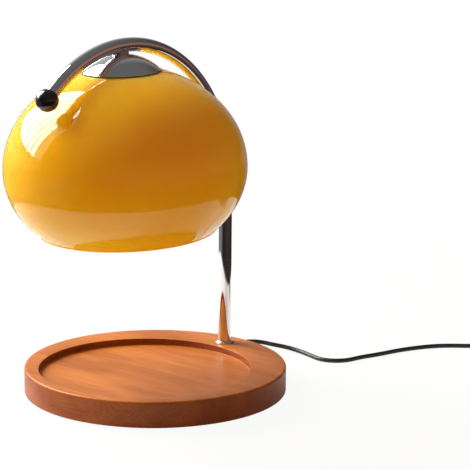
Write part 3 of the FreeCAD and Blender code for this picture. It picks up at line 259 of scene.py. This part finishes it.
class Shader(Nodes):
    """A new material with its nodes."""

    def __init__(self, name):
        self.material = bpy.data.materials.new(name)
        self.material.use_nodes = True
        super().__init__(self.material.node_tree)
        self.surface = self.tree.nodes["Principled BSDF"]
        self.output = self.tree.nodes["Material Output"]

    def show(self, shown):
        self.link(shown, self.output.inputs["Surface"])

    def set(self, **values):
        for key, value in values.items():
            self.surface.inputs[key.replace("_", " ")].default_value = value

    def paint(self, color):
        self.link(color, self.surface.inputs["Base Color"])

    def gloss(self, roughness):
        self.link(roughness, self.surface.inputs["Roughness"])

    def place(self, turn=(0, 0, 0), stretch=(1, 1, 1)):
        """Object coordinates, turned and stretched."""
        source = self.add("ShaderNodeTexCoord")
        mapping = self.add("ShaderNodeMapping", Rotation=turn, Scale=stretch)
        self.link(source.outputs["Object"], mapping.inputs["Vector"])
        return mapping.outputs["Vector"]

    def noise(self, place, scale, detail=2.0, roughness=0.5, distortion=0.0):
        node = self.add("ShaderNodeTexNoise", Scale=scale, Detail=detail)
        node.inputs["Roughness"].default_value = roughness
        node.inputs["Distortion"].default_value = distortion
        self.link(place, node.inputs["Vector"])
        return node.outputs["Fac"]

    def multiply(self, factor, first, second):
        """A colour multiplied by another, as far as the factor says."""
        node = self.add("ShaderNodeMix", data_type="RGBA", blend_type="MULTIPLY")
        targets = [node.inputs["Factor"]] + [i for i in node.inputs if i.type == "RGBA"]
        for value, target in zip((factor, first, second), targets):
            self.feed(value, target)
        return [o for o in node.outputs if o.type == "RGBA"][0]

    def bump(self, height, strength, distance):
        node = self.add("ShaderNodeBump", Strength=strength, Distance=distance)
        self.link(height, node.inputs["Height"])
        self.link(node.outputs["Normal"], self.surface.inputs["Normal"])


WHITE = (1, 1, 1)


def plain(name, color, metallic=0.0, roughness=0.4, grain=400, depth=0.00002, spread=0.06, **extra):
    """A finish with a fine surface grain: its colour and gloss vary a little from spot to spot."""
    shader = Shader(name)
    shader.set(Metallic=metallic, **extra)
    place = shader.place()
    spots = shader.noise(place, grain, 3)
    low = tuple(value * (1 - spread) for value in color)
    high = tuple(min(1, value * (1 + spread)) for value in color)
    shader.paint(shader.ramp(spots, (0.3, low), (0.7, high)))
    shader.gloss(shader.span(spots, roughness * 0.85, roughness * 1.15, 0.3, 0.7))
    if depth:
        shader.bump(spots, 0.5, depth)
    return shader.material


# ---------------------------------------------------------------- materials


def make_wood():
    """Cherry-stained wood: long fine fibres, broad soft figure and a satin varnish. The turned side
    has painted shade: its colour is darker than that of the flat faces."""
    shader = Shader("stained_wood")
    turn = (0, 0, -BEARING)
    broad = shader.noise(shader.place(turn, (5, 26, 26)), 1.6, 3, 0.55, 0.6)
    fibres = shader.noise(shader.place(turn, (9, 330, 330)), 3, 4, 0.6)
    pores = shader.noise(shader.place(turn, (60, 1500, 1500)), 1, 2)
    figure = shader.ramp(broad, (0.3, (0.39, 0.116, 0.018)), (0.7, (0.60, 0.208, 0.038)))
    streaks = shader.ramp(fibres, (0.35, (0.66, 0.54, 0.46)), (0.65, WHITE))
    dots = shader.ramp(pores, (0.30, (0.78, 0.70, 0.64)), (0.42, WHITE))
    color = shader.multiply(0.8, figure, streaks)
    color = shader.multiply(0.6, color, dots)
    # Painted shade: faces that stand upright, the turned side, get a darker colour than level
    # faces.
    facing = shader.add("ShaderNodeSeparateXYZ")
    shader.link(shader.add("ShaderNodeTexCoord").outputs["Normal"], facing.inputs[0])
    flat = shader.math("ABSOLUTE", facing.outputs["Z"])
    painted_side_shade = shader.ramp(flat, (0.3, (0.68, 0.53, 0.50)), (0.8, WHITE))
    shader.paint(shader.multiply(1.0, color, painted_side_shade))
    shader.gloss(shader.span(fibres, 0.34, 0.48))
    shader.set(Specular_IOR_Level=0.18, Coat_Weight=0.12, Coat_Roughness=0.22)
    shader.bump(fibres, 0.25, 0.00012)
    return shader.material


def make_chrome():
    """Bright chrome plate with a faint haze."""
    shader = Shader("chrome_plate")
    haze = shader.noise(shader.place(), 60, 2)
    shader.set(Metallic=1.0, Base_Color=(0.80, 0.80, 0.82, 1))
    shader.gloss(shader.span(haze, 0.025, 0.055, 0.3, 0.7))
    return shader.material


def make_amber():
    """Blown glass: an amber skin over an opal inner layer, so that it looks deep and solid."""
    shader = Shader("amber_glass")
    cloud = shader.noise(shader.place(), 14, 2, 0.5, 0.3)
    seeds = shader.noise(shader.place(), 900, 1)
    shader.paint(shader.ramp(cloud, (0.3, (0.99, 0.350, 0.005)), (0.7, (1.0, 0.395, 0.008))))
    shader.set(Roughness=0.5, Specular_IOR_Level=0.0)
    shader.set(Coat_Weight=1.0, Coat_Roughness=0.012, Coat_IOR=1.52)
    shader.set(Subsurface_Weight=1.0, Subsurface_Radius=(1.0, 0.35, 0.12), Subsurface_Scale=0.018)
    shader.bump(seeds, 0.02, 0.00002)
    return shader.material


def make_opal():
    """The pale inner layer of the shade's glass."""
    shader = Shader("opal_glass")
    cloud = shader.noise(shader.place(), 30, 2)
    shader.paint(shader.ramp(cloud, (0.3, (0.88, 0.82, 0.68)), (0.7, (0.92, 0.86, 0.72))))
    shader.set(Roughness=0.25, Coat_Weight=0.6, Coat_Roughness=0.05)
    shader.set(Subsurface_Weight=1.0, Subsurface_Radius=(1.0, 0.7, 0.4), Subsurface_Scale=0.020)
    return shader.material


def make_clear():
    """Clear glass with a faint ripple."""
    shader = Shader("clear_glass")
    ripple = shader.noise(shader.place(), 220, 1)
    shader.set(Base_Color=(0.96, 0.97, 0.98, 1), Roughness=0.02, Transmission_Weight=1.0, IOR=1.47)
    shader.bump(ripple, 0.05, 0.0001)
    return shader.material


def make_reflector():
    """A faceted mirror bowl: its small flat facets come from a cell pattern."""
    shader = Shader("faceted_mirror")
    cells = shader.add("ShaderNodeTexVoronoi", Scale=330, feature="F1")
    shader.link(shader.place(), cells.inputs["Vector"])
    shader.set(Metallic=1.0, Base_Color=(0.88, 0.88, 0.90, 1), Roughness=0.10)
    shader.bump(cells.outputs["Distance"], 0.6, 0.0008)
    return shader.material


def make_cord_skin():
    """Round flexible cord: a smooth semi-gloss jacket with faint ripples."""
    shader = Shader("cord_jacket")
    ripple = shader.noise(shader.place(), 260, 2)
    shader.paint(shader.ramp(ripple, (0.3, (0.010, 0.010, 0.011)), (0.7, (0.017, 0.017, 0.019))))
    shader.gloss(shader.span(ripple, 0.30, 0.44, 0.3, 0.7))
    shader.bump(ripple, 0.12, 0.0002)
    return shader.material


FINISHES = {
    "wood": make_wood(),
    "chrome": make_chrome(),
    "amber_glass": make_amber(),
    "clear_glass": make_clear(),
    "reflector": make_reflector(),
    "black_cord": make_cord_skin(),
    "foam_pad": plain(
        "foam_pad", (0.035, 0.032, 0.030), roughness=0.95, grain=900, depth=0.0002, spread=0.3
    ),
    "plate_steel": plain(
        "painted_steel", (0.055, 0.055, 0.057), roughness=0.5, grain=700, depth=0.0001
    ),
    "zinc_steel": plain("zinc_plate", (0.56, 0.56, 0.55), 1.0, 0.32, 500, 0.00002, 0.10),
    "black_gloss": plain(
        "black_gloss",
        (0.006, 0.006, 0.007),
        roughness=0.09,
        grain=150,
        depth=0,
        Coat_Weight=0.6,
        Coat_Roughness=0.03,
    ),
    "brass": plain("brass", (0.72, 0.52, 0.22), 1.0, 0.24, 600, 0.00001, 0.08),
    "silicone": plain("silicone", (0.12, 0.11, 0.10), roughness=0.7, grain=500),
    "ceramic": plain(
        "steatite",
        (0.80, 0.78, 0.72),
        roughness=0.25,
        grain=350,
        depth=0.00003,
        spread=0.03,
        Coat_Weight=0.3,
    ),
    "nickel_pins": plain("nickel", (0.66, 0.64, 0.60), 1.0, 0.25, 500, 0),
    "lead_jacket": plain("lead_jacket", (0.80, 0.78, 0.72), roughness=0.55, grain=700),
    "white_nylon": plain(
        "white_nylon", (0.80, 0.80, 0.77), roughness=0.42, grain=500, spread=0.03
    ),
    "tie_strap": plain(
        "tie_strap",
        (0.020, 0.020, 0.021),
        roughness=0.9,
        grain=1800,
        depth=0.0004,
        spread=0.5,
        Sheen_Weight=0.3,
    ),
    "black_plastic": plain(
        "black_plastic",
        (0.012, 0.012, 0.013),
        roughness=0.42,
        grain=1400,
        depth=0.00008,
        spread=0.15,
    ),
    "board": plain("circuit_board", (0.03, 0.16, 0.06), roughness=0.4, grain=600),
    "knob_plastic": plain(
        "knob_plastic", (0.016, 0.016, 0.017), roughness=0.3, grain=900, depth=0.00004
    ),
}
opal = make_opal()
pointer_paint = plain(
    "pointer_paint", (0.80, 0.80, 0.78), roughness=0.5, grain=900, depth=0, spread=0.03
)

for part in frame["record"]["subparts"]:
    mesh = nodes[part["node"]].data
    mesh.materials.clear()
    mesh.materials.append(FINISHES[part["material_slot"]])
for cord in (supply, plug_cord):
    cord.data.materials.append(FINISHES["black_cord"])

KNOB_SLOT = 24.5                    # height of the floor of the knob's pointer slot
SLOT_TOLERANCE = 0.1
FACING_UP = 0.9                     # least Z of the normal of a level face

knob = nodes["dimmer_knob"].data
knob.materials.append(pointer_paint)
for face in knob.polygons:
    off = abs(face.center.z - KNOB_SLOT * MM)
    if face.normal.z > FACING_UP and off < SLOT_TOLERANCE * MM:
        face.material_index = 1

# ---------------------------------------------------------------- shapes

SMOOTH_UP_TO = math.radians(35)
AROUND = 160                        # sides of most circles
HEAD_TILT = math.radians(3.2)       # of cap and shade, which hang square to the arc
ARC_HEIGHT = 150
ARC_CENTRE = Vector((0, -30.5, ARC_HEIGHT))
HEAD = Matrix.Translation(ARC_CENTRE) @ Matrix.Rotation(HEAD_TILT, 4, "X")


def finish_mesh(name, builder, slot, body, *materials, place=None):
    """Turn a bmesh in millimetres into a piece in metres that rides on a body."""
    if place is not None:
        bmesh.ops.transform(builder, matrix=place, verts=builder.verts)
    bmesh.ops.scale(builder, vec=(MM, MM, MM), verts=builder.verts)
    bmesh.ops.recalc_face_normals(builder, faces=builder.faces)
    mesh = bpy.data.meshes.new(name)
    builder.to_mesh(mesh)
    builder.free()
    mesh.polygons.foreach_set("use_smooth", [True] * len(mesh.polygons))
    mesh.set_sharp_from_angle(angle=SMOOTH_UP_TO)
    for material in materials or (FINISHES[slot],):
        mesh.materials.append(material)
    made = bpy.data.objects.new(name, mesh)
    scene.collection.objects.link(made)
    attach(made, body)
    return made


def rings(rows, around=AROUND, closed=False, pick=None):
    """Loft circles. A row is (radius, height, shift along Y); radius 0 makes a point. The shift
    may be left out. pick gives the material number of the faces between two rows."""
    builder = bmesh.new()
    loops = []
    for row in rows:
        radius, height, shift = (*row, 0)[:3]
        if radius == 0:
            loops.append([builder.verts.new((0, shift, height))])
            continue
        loop = []
        for number in range(around):
            angle = 2 * math.pi * number / around
            x = radius * math.cos(angle)
            y = shift + radius * math.sin(angle)
            loop.append(builder.verts.new((x, y, height)))
        loops.append(loop)
    pairs = list(zip(loops, loops[1:]))
    if closed:
        pairs.append((loops[-1], loops[0]))
    for number, (low, high) in enumerate(pairs):
        for index in range(around):
            after = (index + 1) % around
            corners = [
                low[index % len(low)],
                low[after % len(low)],
                high[after % len(high)],
                high[index % len(high)],
            ]
            corners = list(dict.fromkeys(corners))
            if len(corners) > 2:
                face = builder.faces.new(corners)
                if pick:
                    face.material_index = pick(number)
    return builder


def arc_rows(radius, height, bend, start, end, steps, shift=0):
    """Rows along a round: centre at (radius, height), from start to end degrees."""
    rows = []
    for step in range(steps + 1):
        angle = math.radians(start + (end - start) * step / steps)
        rows.append((radius + bend * math.cos(angle), height + bend * math.sin(angle), shift))
    return rows


# ---------------------------------------------------------------- wooden base

BASE_RADIUS = 97.5
BASE_ROUND = 1.6                    # round of the top edge
BASE_LOW_ROUND = 0.8
RECESS_RADIUS = 78.5
RECESS_SHIFT = -11.5
RECESS_FLOOR = 15
RECESS_MIDDLE = 40                  # radius of a ring within the recess's flat floor
PLATE_RADIUS = 90.9                 # of the ballast plate's pocket in the underside
PLATE_CEILING = 4
WOOD_LOW = 1
WOOD_HIGH = 20
EDGE = 0.5                          # small rounds that sanding leaves
FINE = 256                          # sides of the widest circles

base_rows = [(0, PLATE_CEILING), (PLATE_RADIUS, PLATE_CEILING), (PLATE_RADIUS, WOOD_LOW)]
base_rows += arc_rows(
    BASE_RADIUS - BASE_LOW_ROUND, WOOD_LOW + BASE_LOW_ROUND, BASE_LOW_ROUND, -90, 0, 5
)
base_rows += arc_rows(BASE_RADIUS - BASE_ROUND, WOOD_HIGH - BASE_ROUND, BASE_ROUND, 0, 90, 8)
base_rows += arc_rows(RECESS_RADIUS + EDGE, WOOD_HIGH - EDGE, EDGE, 90, 180, 5, RECESS_SHIFT)
base_rows += arc_rows(RECESS_RADIUS - EDGE, RECESS_FLOOR + EDGE, EDGE, 0, -90, 5, RECESS_SHIFT)
base_rows += [(RECESS_MIDDLE, RECESS_FLOOR, RECESS_SHIFT), (0, RECESS_FLOOR, RECESS_SHIFT)]
wood = finish_mesh("turned_base", rings(base_rows, FINE), "wood", "lamp")
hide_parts("wood_base")

# ---------------------------------------------------------------- tube, ball and collar

TUBE_RADIUS = 5
TUBE_LOW = 7
TUBE_STEP = 11                      # between rings of the straight column
TUBE_SIDES = 96
COLUMN_Y = 79.5
ARC_RADIUS = 110
ARC_SWEEP = 135


def sweep_tube(name, path, radius, slot):
    """A round tube along points in the YZ plane. Each ring stands square to the path."""
    builder = bmesh.new()
    loops = []
    for number, point in enumerate(path):
        before = path[max(number - 1, 0)]
        after = path[min(number + 1, len(path) - 1)]
        along = (after - before).normalized()
        side = Vector((1, 0, 0))
        out = along.cross(side)
        loop = []
        for index in range(TUBE_SIDES):
            angle = 2 * math.pi * index / TUBE_SIDES
            spoke = math.cos(angle) * side + math.sin(angle) * out
            loop.append(builder.verts.new(point + radius * spoke))
        loops.append(loop)
    for low, high in zip(loops, loops[1:]):
        for index in range(TUBE_SIDES):
            after = (index + 1) % TUBE_SIDES
            builder.faces.new((low[index], low[after], high[after], high[index]))
    builder.faces.new(loops[0])
    builder.faces.new(loops[-1])
    return finish_mesh(name, builder, slot, "lamp")


tube_path = [Vector((0, COLUMN_Y, z)) for z in range(TUBE_LOW, ARC_HEIGHT, TUBE_STEP)]
for step in range(ARC_SWEEP + 1):
    angle = math.radians(step)
    tube_path.append(ARC_CENTRE + ARC_RADIUS * Vector((0, math.cos(angle), math.sin(angle))))
tube = sweep_tube("chrome_tube", tube_path, TUBE_RADIUS, "chrome")
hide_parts("arm_tube")

BALL_RADIUS = 8
SOCKET_RADIUS = 5.3
SOCKET_FLOOR = 4.8
BALL_TURN = math.radians(-45)       # the ball's axis runs up along the end of the tube
BALL_END = -88                      # degrees, where the last ring stands

socket_top = math.sqrt(BALL_RADIUS ** 2 - SOCKET_RADIUS ** 2)
socket_angle = math.degrees(math.atan2(socket_top, SOCKET_RADIUS))
ball_rows = [(0, SOCKET_FLOOR), (SOCKET_RADIUS, SOCKET_FLOOR)]
ball_rows += arc_rows(0, 0, BALL_RADIUS, socket_angle, BALL_END, 48)
ball_rows += [(0, -BALL_RADIUS)]
ball_place = Matrix.Translation(tube_path[-1]) @ Matrix.Rotation(BALL_TURN, 4, "X")
ball = finish_mesh("end_ball", rings(ball_rows), "black_gloss", "lamp", place=ball_place)
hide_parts("ball_finial")

COLLAR_BORE = 5.05
COLLAR_FOOT = 6.9
COLLAR_HIGH = 2
BEAD = 0.45                         # round of the bead at the foot
BEAD_AT = 6.75                      # radius of its centre
SHOULDER = 0.4                      # round of the upper edge
SHOULDER_AT = 6.1

collar_rows = [(COLLAR_BORE, 0), (COLLAR_FOOT, 0)]
collar_rows += arc_rows(BEAD_AT, BEAD, BEAD, -60, 60, 6)
collar_rows += arc_rows(SHOULDER_AT, COLLAR_HIGH - SHOULDER, SHOULDER, 0, 90, 5)
collar_rows += [(COLLAR_BORE, COLLAR_HIGH)]
collar_place = Matrix.Translation((0, COLUMN_Y, WOOD_HIGH))
collar_rings = rings(collar_rows, closed=True)
collar = finish_mesh("foot_flange", collar_rings, "chrome", "lamp", place=collar_place)
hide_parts("foot_collar")

# ---------------------------------------------------------------- glass shade

SHADE_RADIUS = 87.5
SHADE_RISE = 73
SHADE_DROP = 66.5
SHADE_EQUATOR = 22.3
SHADE_WALL = 3
MOUTH_RADIUS = 64
HOLE_RADIUS = 21
RIM_ROUND = 0.9                     # how far the rounded rim reaches below the mouth
RIM_STEPS = 12
GLASS_STEPS = 120                   # rows of one face of the glass


def shade_rows(inward):
    """Rows of one face of the glass, from the top hole down to the mouth."""
    across = SHADE_RADIUS - inward
    rows = []
    top = math.acos(HOLE_RADIUS / across)
    low = -math.asin(math.sqrt(1 - (MOUTH_RADIUS / SHADE_RADIUS) ** 2))
    for step in range(GLASS_STEPS + 1):
        angle = top + (low - top) * step / GLASS_STEPS
        tall = (SHADE_RISE if angle > 0 else SHADE_DROP) - inward
        rows.append((across * math.cos(angle), SHADE_EQUATOR + tall * math.sin(angle)))
    return rows


outer = shade_rows(0)
inner = shade_rows(SHADE_WALL)
mouth_radius, mouth_height = outer[-1]
rim_radius = (mouth_radius + inner[-1][0]) / 2
rim = []
for step in range(1, RIM_STEPS):
    angle = math.pi * step / RIM_STEPS
    across = rim_radius + math.cos(angle) * SHADE_WALL / 2
    rim.append((across, mouth_height - RIM_ROUND * math.sin(angle)))
glass_rows = outer + rim + inner[-2::-1]
outside = len(outer) + len(rim)


def amber_or_opal(number):
    """The outer face and the rim are amber, the inner face is opal."""
    return 0 if number < outside else 1


shade = finish_mesh(
    "blown_shade",
    rings(glass_rows, FINE, closed=True, pick=amber_or_opal),
    "amber_glass",
    "lamp",
    FINISHES["amber_glass"],
    opal,
    place=HEAD,
)
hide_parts("glass_shade")

# ---------------------------------------------------------------- chrome cap

CAP_RADIUS = 28.5
CAP_CURVE = 39.84                   # radius of the dome
CAP_CENTRE = 64.2                   # height of the dome's centre
CAP_WALL = 1
CAP_LAND = 6.1                      # radius of the flat on top
CAP_TOP = 103.5
CAP_BORE = 4.05
CAP_LIP = 0.35                      # round of the lower edge
CAP_LIP_HEIGHT = 92.4
CAP_SIDES = 192
DOME_SHORT = 0.25                   # by how much the outer face ends inside the cap's radius
HOLLOW_SHORT = 1.6                  # and the inner face


def dome_rows(curve, start_radius, end_radius, steps):
    """Rows along the dome between two distances from its axis."""
    start, end = (math.degrees(math.acos(r / curve)) for r in (start_radius, end_radius))
    return arc_rows(0, CAP_CENTRE, curve, start, end, steps)


cap_rows = dome_rows(CAP_CURVE, CAP_LAND, CAP_RADIUS - DOME_SHORT, 48)
cap_rows += arc_rows(CAP_RADIUS - CAP_LIP, CAP_LIP_HEIGHT, CAP_LIP, 30, -90, 6)
cap_rows += dome_rows(CAP_CURVE - CAP_WALL, CAP_RADIUS - HOLLOW_SHORT, CAP_BORE, 32)
cap_rows += [(CAP_BORE, CAP_TOP), (CAP_LAND, CAP_TOP)]
cap_rings = rings(cap_rows, CAP_SIDES, closed=True)
cap = finish_mesh("domed_cap", cap_rings, "chrome", "lamp", place=HEAD)
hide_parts("shade_cap")

# ---------------------------------------------------------------- pieces on the cord

RELIEF_AT = (-18, 95.83, 8)
RELIEF_LENGTH = 20
RELIEF_BACK = -22                   # its end inside the wood
RELIEF_BORE = 1.8
RELIEF_TIP = 2.4
RELIEF_NECK = 3.8
RELIEF_SIDES = 64
FLANGE_RADIUS = 5.5
FLANGE_LOW = 1
FLANGE_HIGH = 2.8
FLANGE_ROUND = 0.5
FILLET = (RELIEF_NECK + 0.3, 3)     # radius and height, where flange and taper meet
TAPER_START = 4
TIP_START = 19.2
TIP_ROUND = 0.3
GROOVES_AT = (4.2, 7.2, 10.2, 13.2, 16.2)
GROOVE = ((0, 0), (1.5, 0), (1.8, 0.7), (2.7, 0.7))     # along the sleeve and into it

relief_rows = [(RELIEF_BORE, RELIEF_BACK), (RELIEF_NECK, RELIEF_BACK)]
relief_rows += [(RELIEF_NECK, FLANGE_LOW), (FLANGE_RADIUS, FLANGE_LOW)]
relief_rows += arc_rows(
    FLANGE_RADIUS - FLANGE_ROUND, FLANGE_HIGH - FLANGE_ROUND, FLANGE_ROUND, 0, 90, 4
)
relief_rows += [FILLET]
for start in GROOVES_AT:
    for along, cut_in in GROOVE:
        share = (start + along - TAPER_START) / (RELIEF_LENGTH - TAPER_START)
        outside_radius = RELIEF_NECK + (RELIEF_TIP - RELIEF_NECK) * share
        relief_rows.append((outside_radius - cut_in * (1 - share), start + along))
relief_rows += [(RELIEF_TIP, TIP_START)]
relief_rows += arc_rows(RELIEF_TIP - TIP_ROUND, RELIEF_LENGTH - TIP_ROUND, TIP_ROUND, 0, 90, 3)
relief_rows += [(RELIEF_BORE, RELIEF_LENGTH)]
relief_place = Matrix.Translation(RELIEF_AT) @ Matrix.Rotation(math.radians(-90), 4, "X")
relief_rings = rings(relief_rows, RELIEF_SIDES, closed=True)
relief = finish_mesh("cord_relief", relief_rings, "black_cord", "lamp", place=relief_place)
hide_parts("strain_relief")

# ---------------------------------------------------------------- floor, background and light

FLOOR_HALF = 8                      # metres
FLOOR_GREYS = ((0.66, 0.66, 0.66), (0.68, 0.68, 0.68))     # its own colour, where light falls
FLOOR_NEAR = 0.93                   # how much of the floor's white doesn't depend on the light
FLOOR_MIRRORED = 0.3                # the same share in reflections
FLOOR_FADE = (0.25, 0.9)            # from here to here the floor turns to plain white
TABLE_CENTRE = (-0.068, 0.060, 0)   # in reflections the floor is a round white table
TABLE_EDGE = (0.345, 0.360)
ROOM_REACH = (-0.6, 1.2)            # from left to right of the room beyond the table, by X
BEYOND = (                          # its colours: a share of that reach, and a colour
    (0.16, (0.22, 0.22, 0.23)),
    (0.34, (0.014, 0.011, 0.011)),
    (1.00, (0.11, 0.068, 0.062)),
)


def make_floor():
    """A pale floor that shows white and keeps a light shadow. Gloss sees it as a round white table
    in a darker room."""
    shader = Shader("pale_floor")
    mottle = shader.noise(shader.place(), 3, 2)
    shader.paint(shader.ramp(mottle, (0.3, FLOOR_GREYS[0]), (0.7, FLOOR_GREYS[1])))
    shader.set(Roughness=0.9, Specular_IOR_Level=0.1)
    rays = shader.add("ShaderNodeLightPath").outputs
    mirrored = shader.math("MULTIPLY", rays["Is Glossy Ray"], FLOOR_MIRRORED)
    seen = shader.math("MAXIMUM", rays["Is Camera Ray"], mirrored)
    seen = shader.math("MAXIMUM", seen, rays["Is Transmission Ray"])
    reach = shader.add("ShaderNodeVectorMath", operation="LENGTH")
    shader.link(shader.place(), reach.inputs[0])
    steady = shader.span(reach.outputs["Value"], FLOOR_NEAR, 1.0, *FLOOR_FADE)
    white = shader.emission(WHITE, 1.0)
    share = shader.math("MULTIPLY", seen, steady)
    table = shader.either(share, shader.surface.outputs[0], white)

    away = shader.add("ShaderNodeVectorMath", operation="DISTANCE")
    shader.link(shader.place(), away.inputs[0])
    away.inputs[1].default_value = TABLE_CENTRE
    past = shader.span(away.outputs["Value"], 0.0, 1.0, *TABLE_EDGE)
    beyond = shader.math("MULTIPLY", past, rays["Is Glossy Ray"])
    sides = shader.add("ShaderNodeSeparateXYZ")
    shader.link(shader.place(), sides.inputs[0])
    across = shader.span(sides.outputs["X"], 0.0, 1.0, *ROOM_REACH)
    room = shader.emission(shader.ramp(across, *BEYOND), 1.0)
    shader.show(shader.either(beyond, table, room))
    return shader.material


mesh = bpy.data.meshes.new("floor")
builder = bmesh.new()
bmesh.ops.create_grid(builder, x_segments=1, y_segments=1, size=FLOOR_HALF)
builder.to_mesh(mesh)
builder.free()
mesh.materials.append(make_floor())
floor = bpy.data.objects.new("floor", mesh)
scene.collection.objects.link(floor)

# Light on the object comes off warm walls and a pale ceiling. Gloss sees a darker room.
AMBIENT_TINT = (1.0, 0.70, 0.44)
WALLS = 0.078
CEILING_LIT = 0.64
WALL_LEFT = 0.27                    # what the window's side adds
ROOM_DARK = 0.036                   # from here on as gloss sees it
ROOM_LIGHT = 0.5
CEILING = 0.10                      # what the ceiling adds
ROOM_BROWN = (0.36, 0.15, 0.095)    # low furniture to the right of the camera
UP = (0, 0, 1)
# A direction, and the cosines to it at which a level starts and ends.
TO_CEILING = (UP, 0.2, 1.0)
TO_WINDOW = ((-0.9, -0.43, 0), -0.1, 0.8)
TO_BACK_LEFT = ((-0.97, 0.25, 0.0), 0.3, 0.95)
OVERHEAD = (UP, 0.25, 0.9)
TO_RIGHT = ((1, 0, 0), 0.1, 0.9)
LOW_DOWN = (UP, 0.1, 0.7)


def make_world():
    """White to the camera, a warm light on the object and a darker room to gloss."""
    world = bpy.data.worlds.new("studio")
    world.use_nodes = True
    scene.world = world
    world.node_tree.nodes.clear()
    sky = Nodes(world.node_tree)
    rays = sky.add("ShaderNodeLightPath").outputs
    source = sky.add("ShaderNodeTexCoord").outputs["Generated"]

    def level(direction, start, end, low, high):
        """From low to high as the view turns towards a direction."""
        facing = sky.add("ShaderNodeVectorMath", operation="DOT_PRODUCT")
        sky.link(source, facing.inputs[0])
        facing.inputs[1].default_value = direction
        cosine = facing.outputs["Value"]
        return sky.span(cosine, low, high, start, end, interpolation_type="SMOOTHSTEP")

    def light(color, strength):
        node = sky.add("ShaderNodeBackground", Color=(*color, 1))
        sky.feed(strength, node.inputs["Strength"])
        return node.outputs[0]

    above = level(*TO_CEILING, WALLS, CEILING_LIT)
    beside = level(*TO_WINDOW, 0.0, WALL_LEFT)
    ambient = light(AMBIENT_TINT, sky.math("ADD", above, beside))
    back = level(*TO_BACK_LEFT, ROOM_DARK, ROOM_LIGHT)
    overhead = level(*OVERHEAD, 0.0, CEILING)
    pale = light(WHITE, sky.math("ADD", back, overhead))
    right = level(*TO_RIGHT, 0.0, 1.0)
    low_down = level(*LOW_DOWN, 1.0, 0.0)
    brown = light(ROOM_BROWN, sky.math("MULTIPLY", right, low_down))
    around = sky.add("ShaderNodeAddShader")
    sky.link(pale, around.inputs[0])
    sky.link(brown, around.inputs[1])
    unseen = sky.either(rays["Is Glossy Ray"], ambient, around.outputs[0])
    seen = sky.math("MAXIMUM", rays["Is Camera Ray"], rays["Is Transmission Ray"])
    output = sky.add("ShaderNodeOutputWorld")
    sky.link(sky.either(seen, unseen, light(WHITE, 1.0)), output.inputs["Surface"])


make_world()

WINDOW_BEARING = -78                # degrees from -Y towards +X, seen from the shade
WINDOW_AWAY = 1.3
WINDOW_WIDE = 1.3
WINDOW_LOW = 0.33                   # over the shade's middle
WINDOW_HIGH = 2.3
WINDOW_TALL = WINDOW_HIGH - WINDOW_LOW
SHADE_MIDDLE = 0.172                # over the floor
WINDOW_MIDDLE = SHADE_MIDDLE + (WINDOW_HIGH + WINDOW_LOW) / 2
WINDOW_POWER = 111
WINDOW_MIRRORED = 12                # how bright gloss sees the curtain
FOLD_MIRRORED = 2.4                 # and its folds, and the gaps beside it
FOLDS = 7
FOLD_SHARE = 0.82                   # of a fold's width that is bright
CURTAIN_AHEAD = 0.005               # of the darker sheet behind it
# Where each gap starts and ends, from the curtain's edge.
GAPS_BESIDE = ((0.04, 0.07), (0.11, 0.15), (0.19, 0.24), (0.28, 0.30))


def stand(thing, *unseen_by):
    """Stand something upright in the window's place, facing the shade, and hide it from some
    kinds of ray."""
    turn = math.radians(WINDOW_BEARING)
    thing.location = (WINDOW_AWAY * math.sin(turn), -WINDOW_AWAY * math.cos(turn), WINDOW_MIDDLE)
    thing.rotation_euler = (math.radians(90), 0, turn)
    for kind in unseen_by:
        setattr(thing, "visible_" + kind, False)


def make_glow(name, strength):
    """A material that only shines."""
    shader = Shader(name)
    shader.show(shader.emission(WHITE, strength))
    return shader.material


def make_panes():
    """The bright window as gloss shows it: a thin curtain with darker folds, and gaps beside it."""
    half, up = WINDOW_WIDE / 2, WINDOW_TALL / 2
    fold = WINDOW_WIDE / FOLDS
    sheets = [(-half, half, 0)]
    for number in range(FOLDS):
        start = number * fold - half
        sheets.append((start, start + FOLD_SHARE * fold, -CURTAIN_AHEAD))
    sheets += [(half + start, half + end, 0) for start, end in GAPS_BESIDE]
    points = [(x, y, z) for low, high, z in sheets for x in (low, high) for y in (-up, up)]
    corners = range(0, len(points), 4)
    mesh = bpy.data.meshes.new("window_pane")
    mesh.from_pydata(points, [], [(n, n + 2, n + 3, n + 1) for n in corners])
    mesh.materials.append(make_glow("curtain_fold", FOLD_MIRRORED))
    mesh.materials.append(make_glow("curtain", WINDOW_MIRRORED))
    for number in range(1, FOLDS + 1):
        mesh.polygons[number].material_index = 1
    panes = bpy.data.objects.new("window_pane", mesh)
    scene.collection.objects.link(panes)
    return panes


data = bpy.data.lights.new("window_light", "AREA")
data.shape = "RECTANGLE"
data.size = WINDOW_WIDE
data.size_y = WINDOW_TALL
data.energy = WINDOW_POWER
lamp = bpy.data.objects.new("window_light", data)
scene.collection.objects.link(lamp)
stand(lamp, "camera", "glossy", "transmission")

pane = make_panes()
stand(pane, "camera", "diffuse", "shadow", "transmission")

scene.view_settings.view_transform = "Standard"
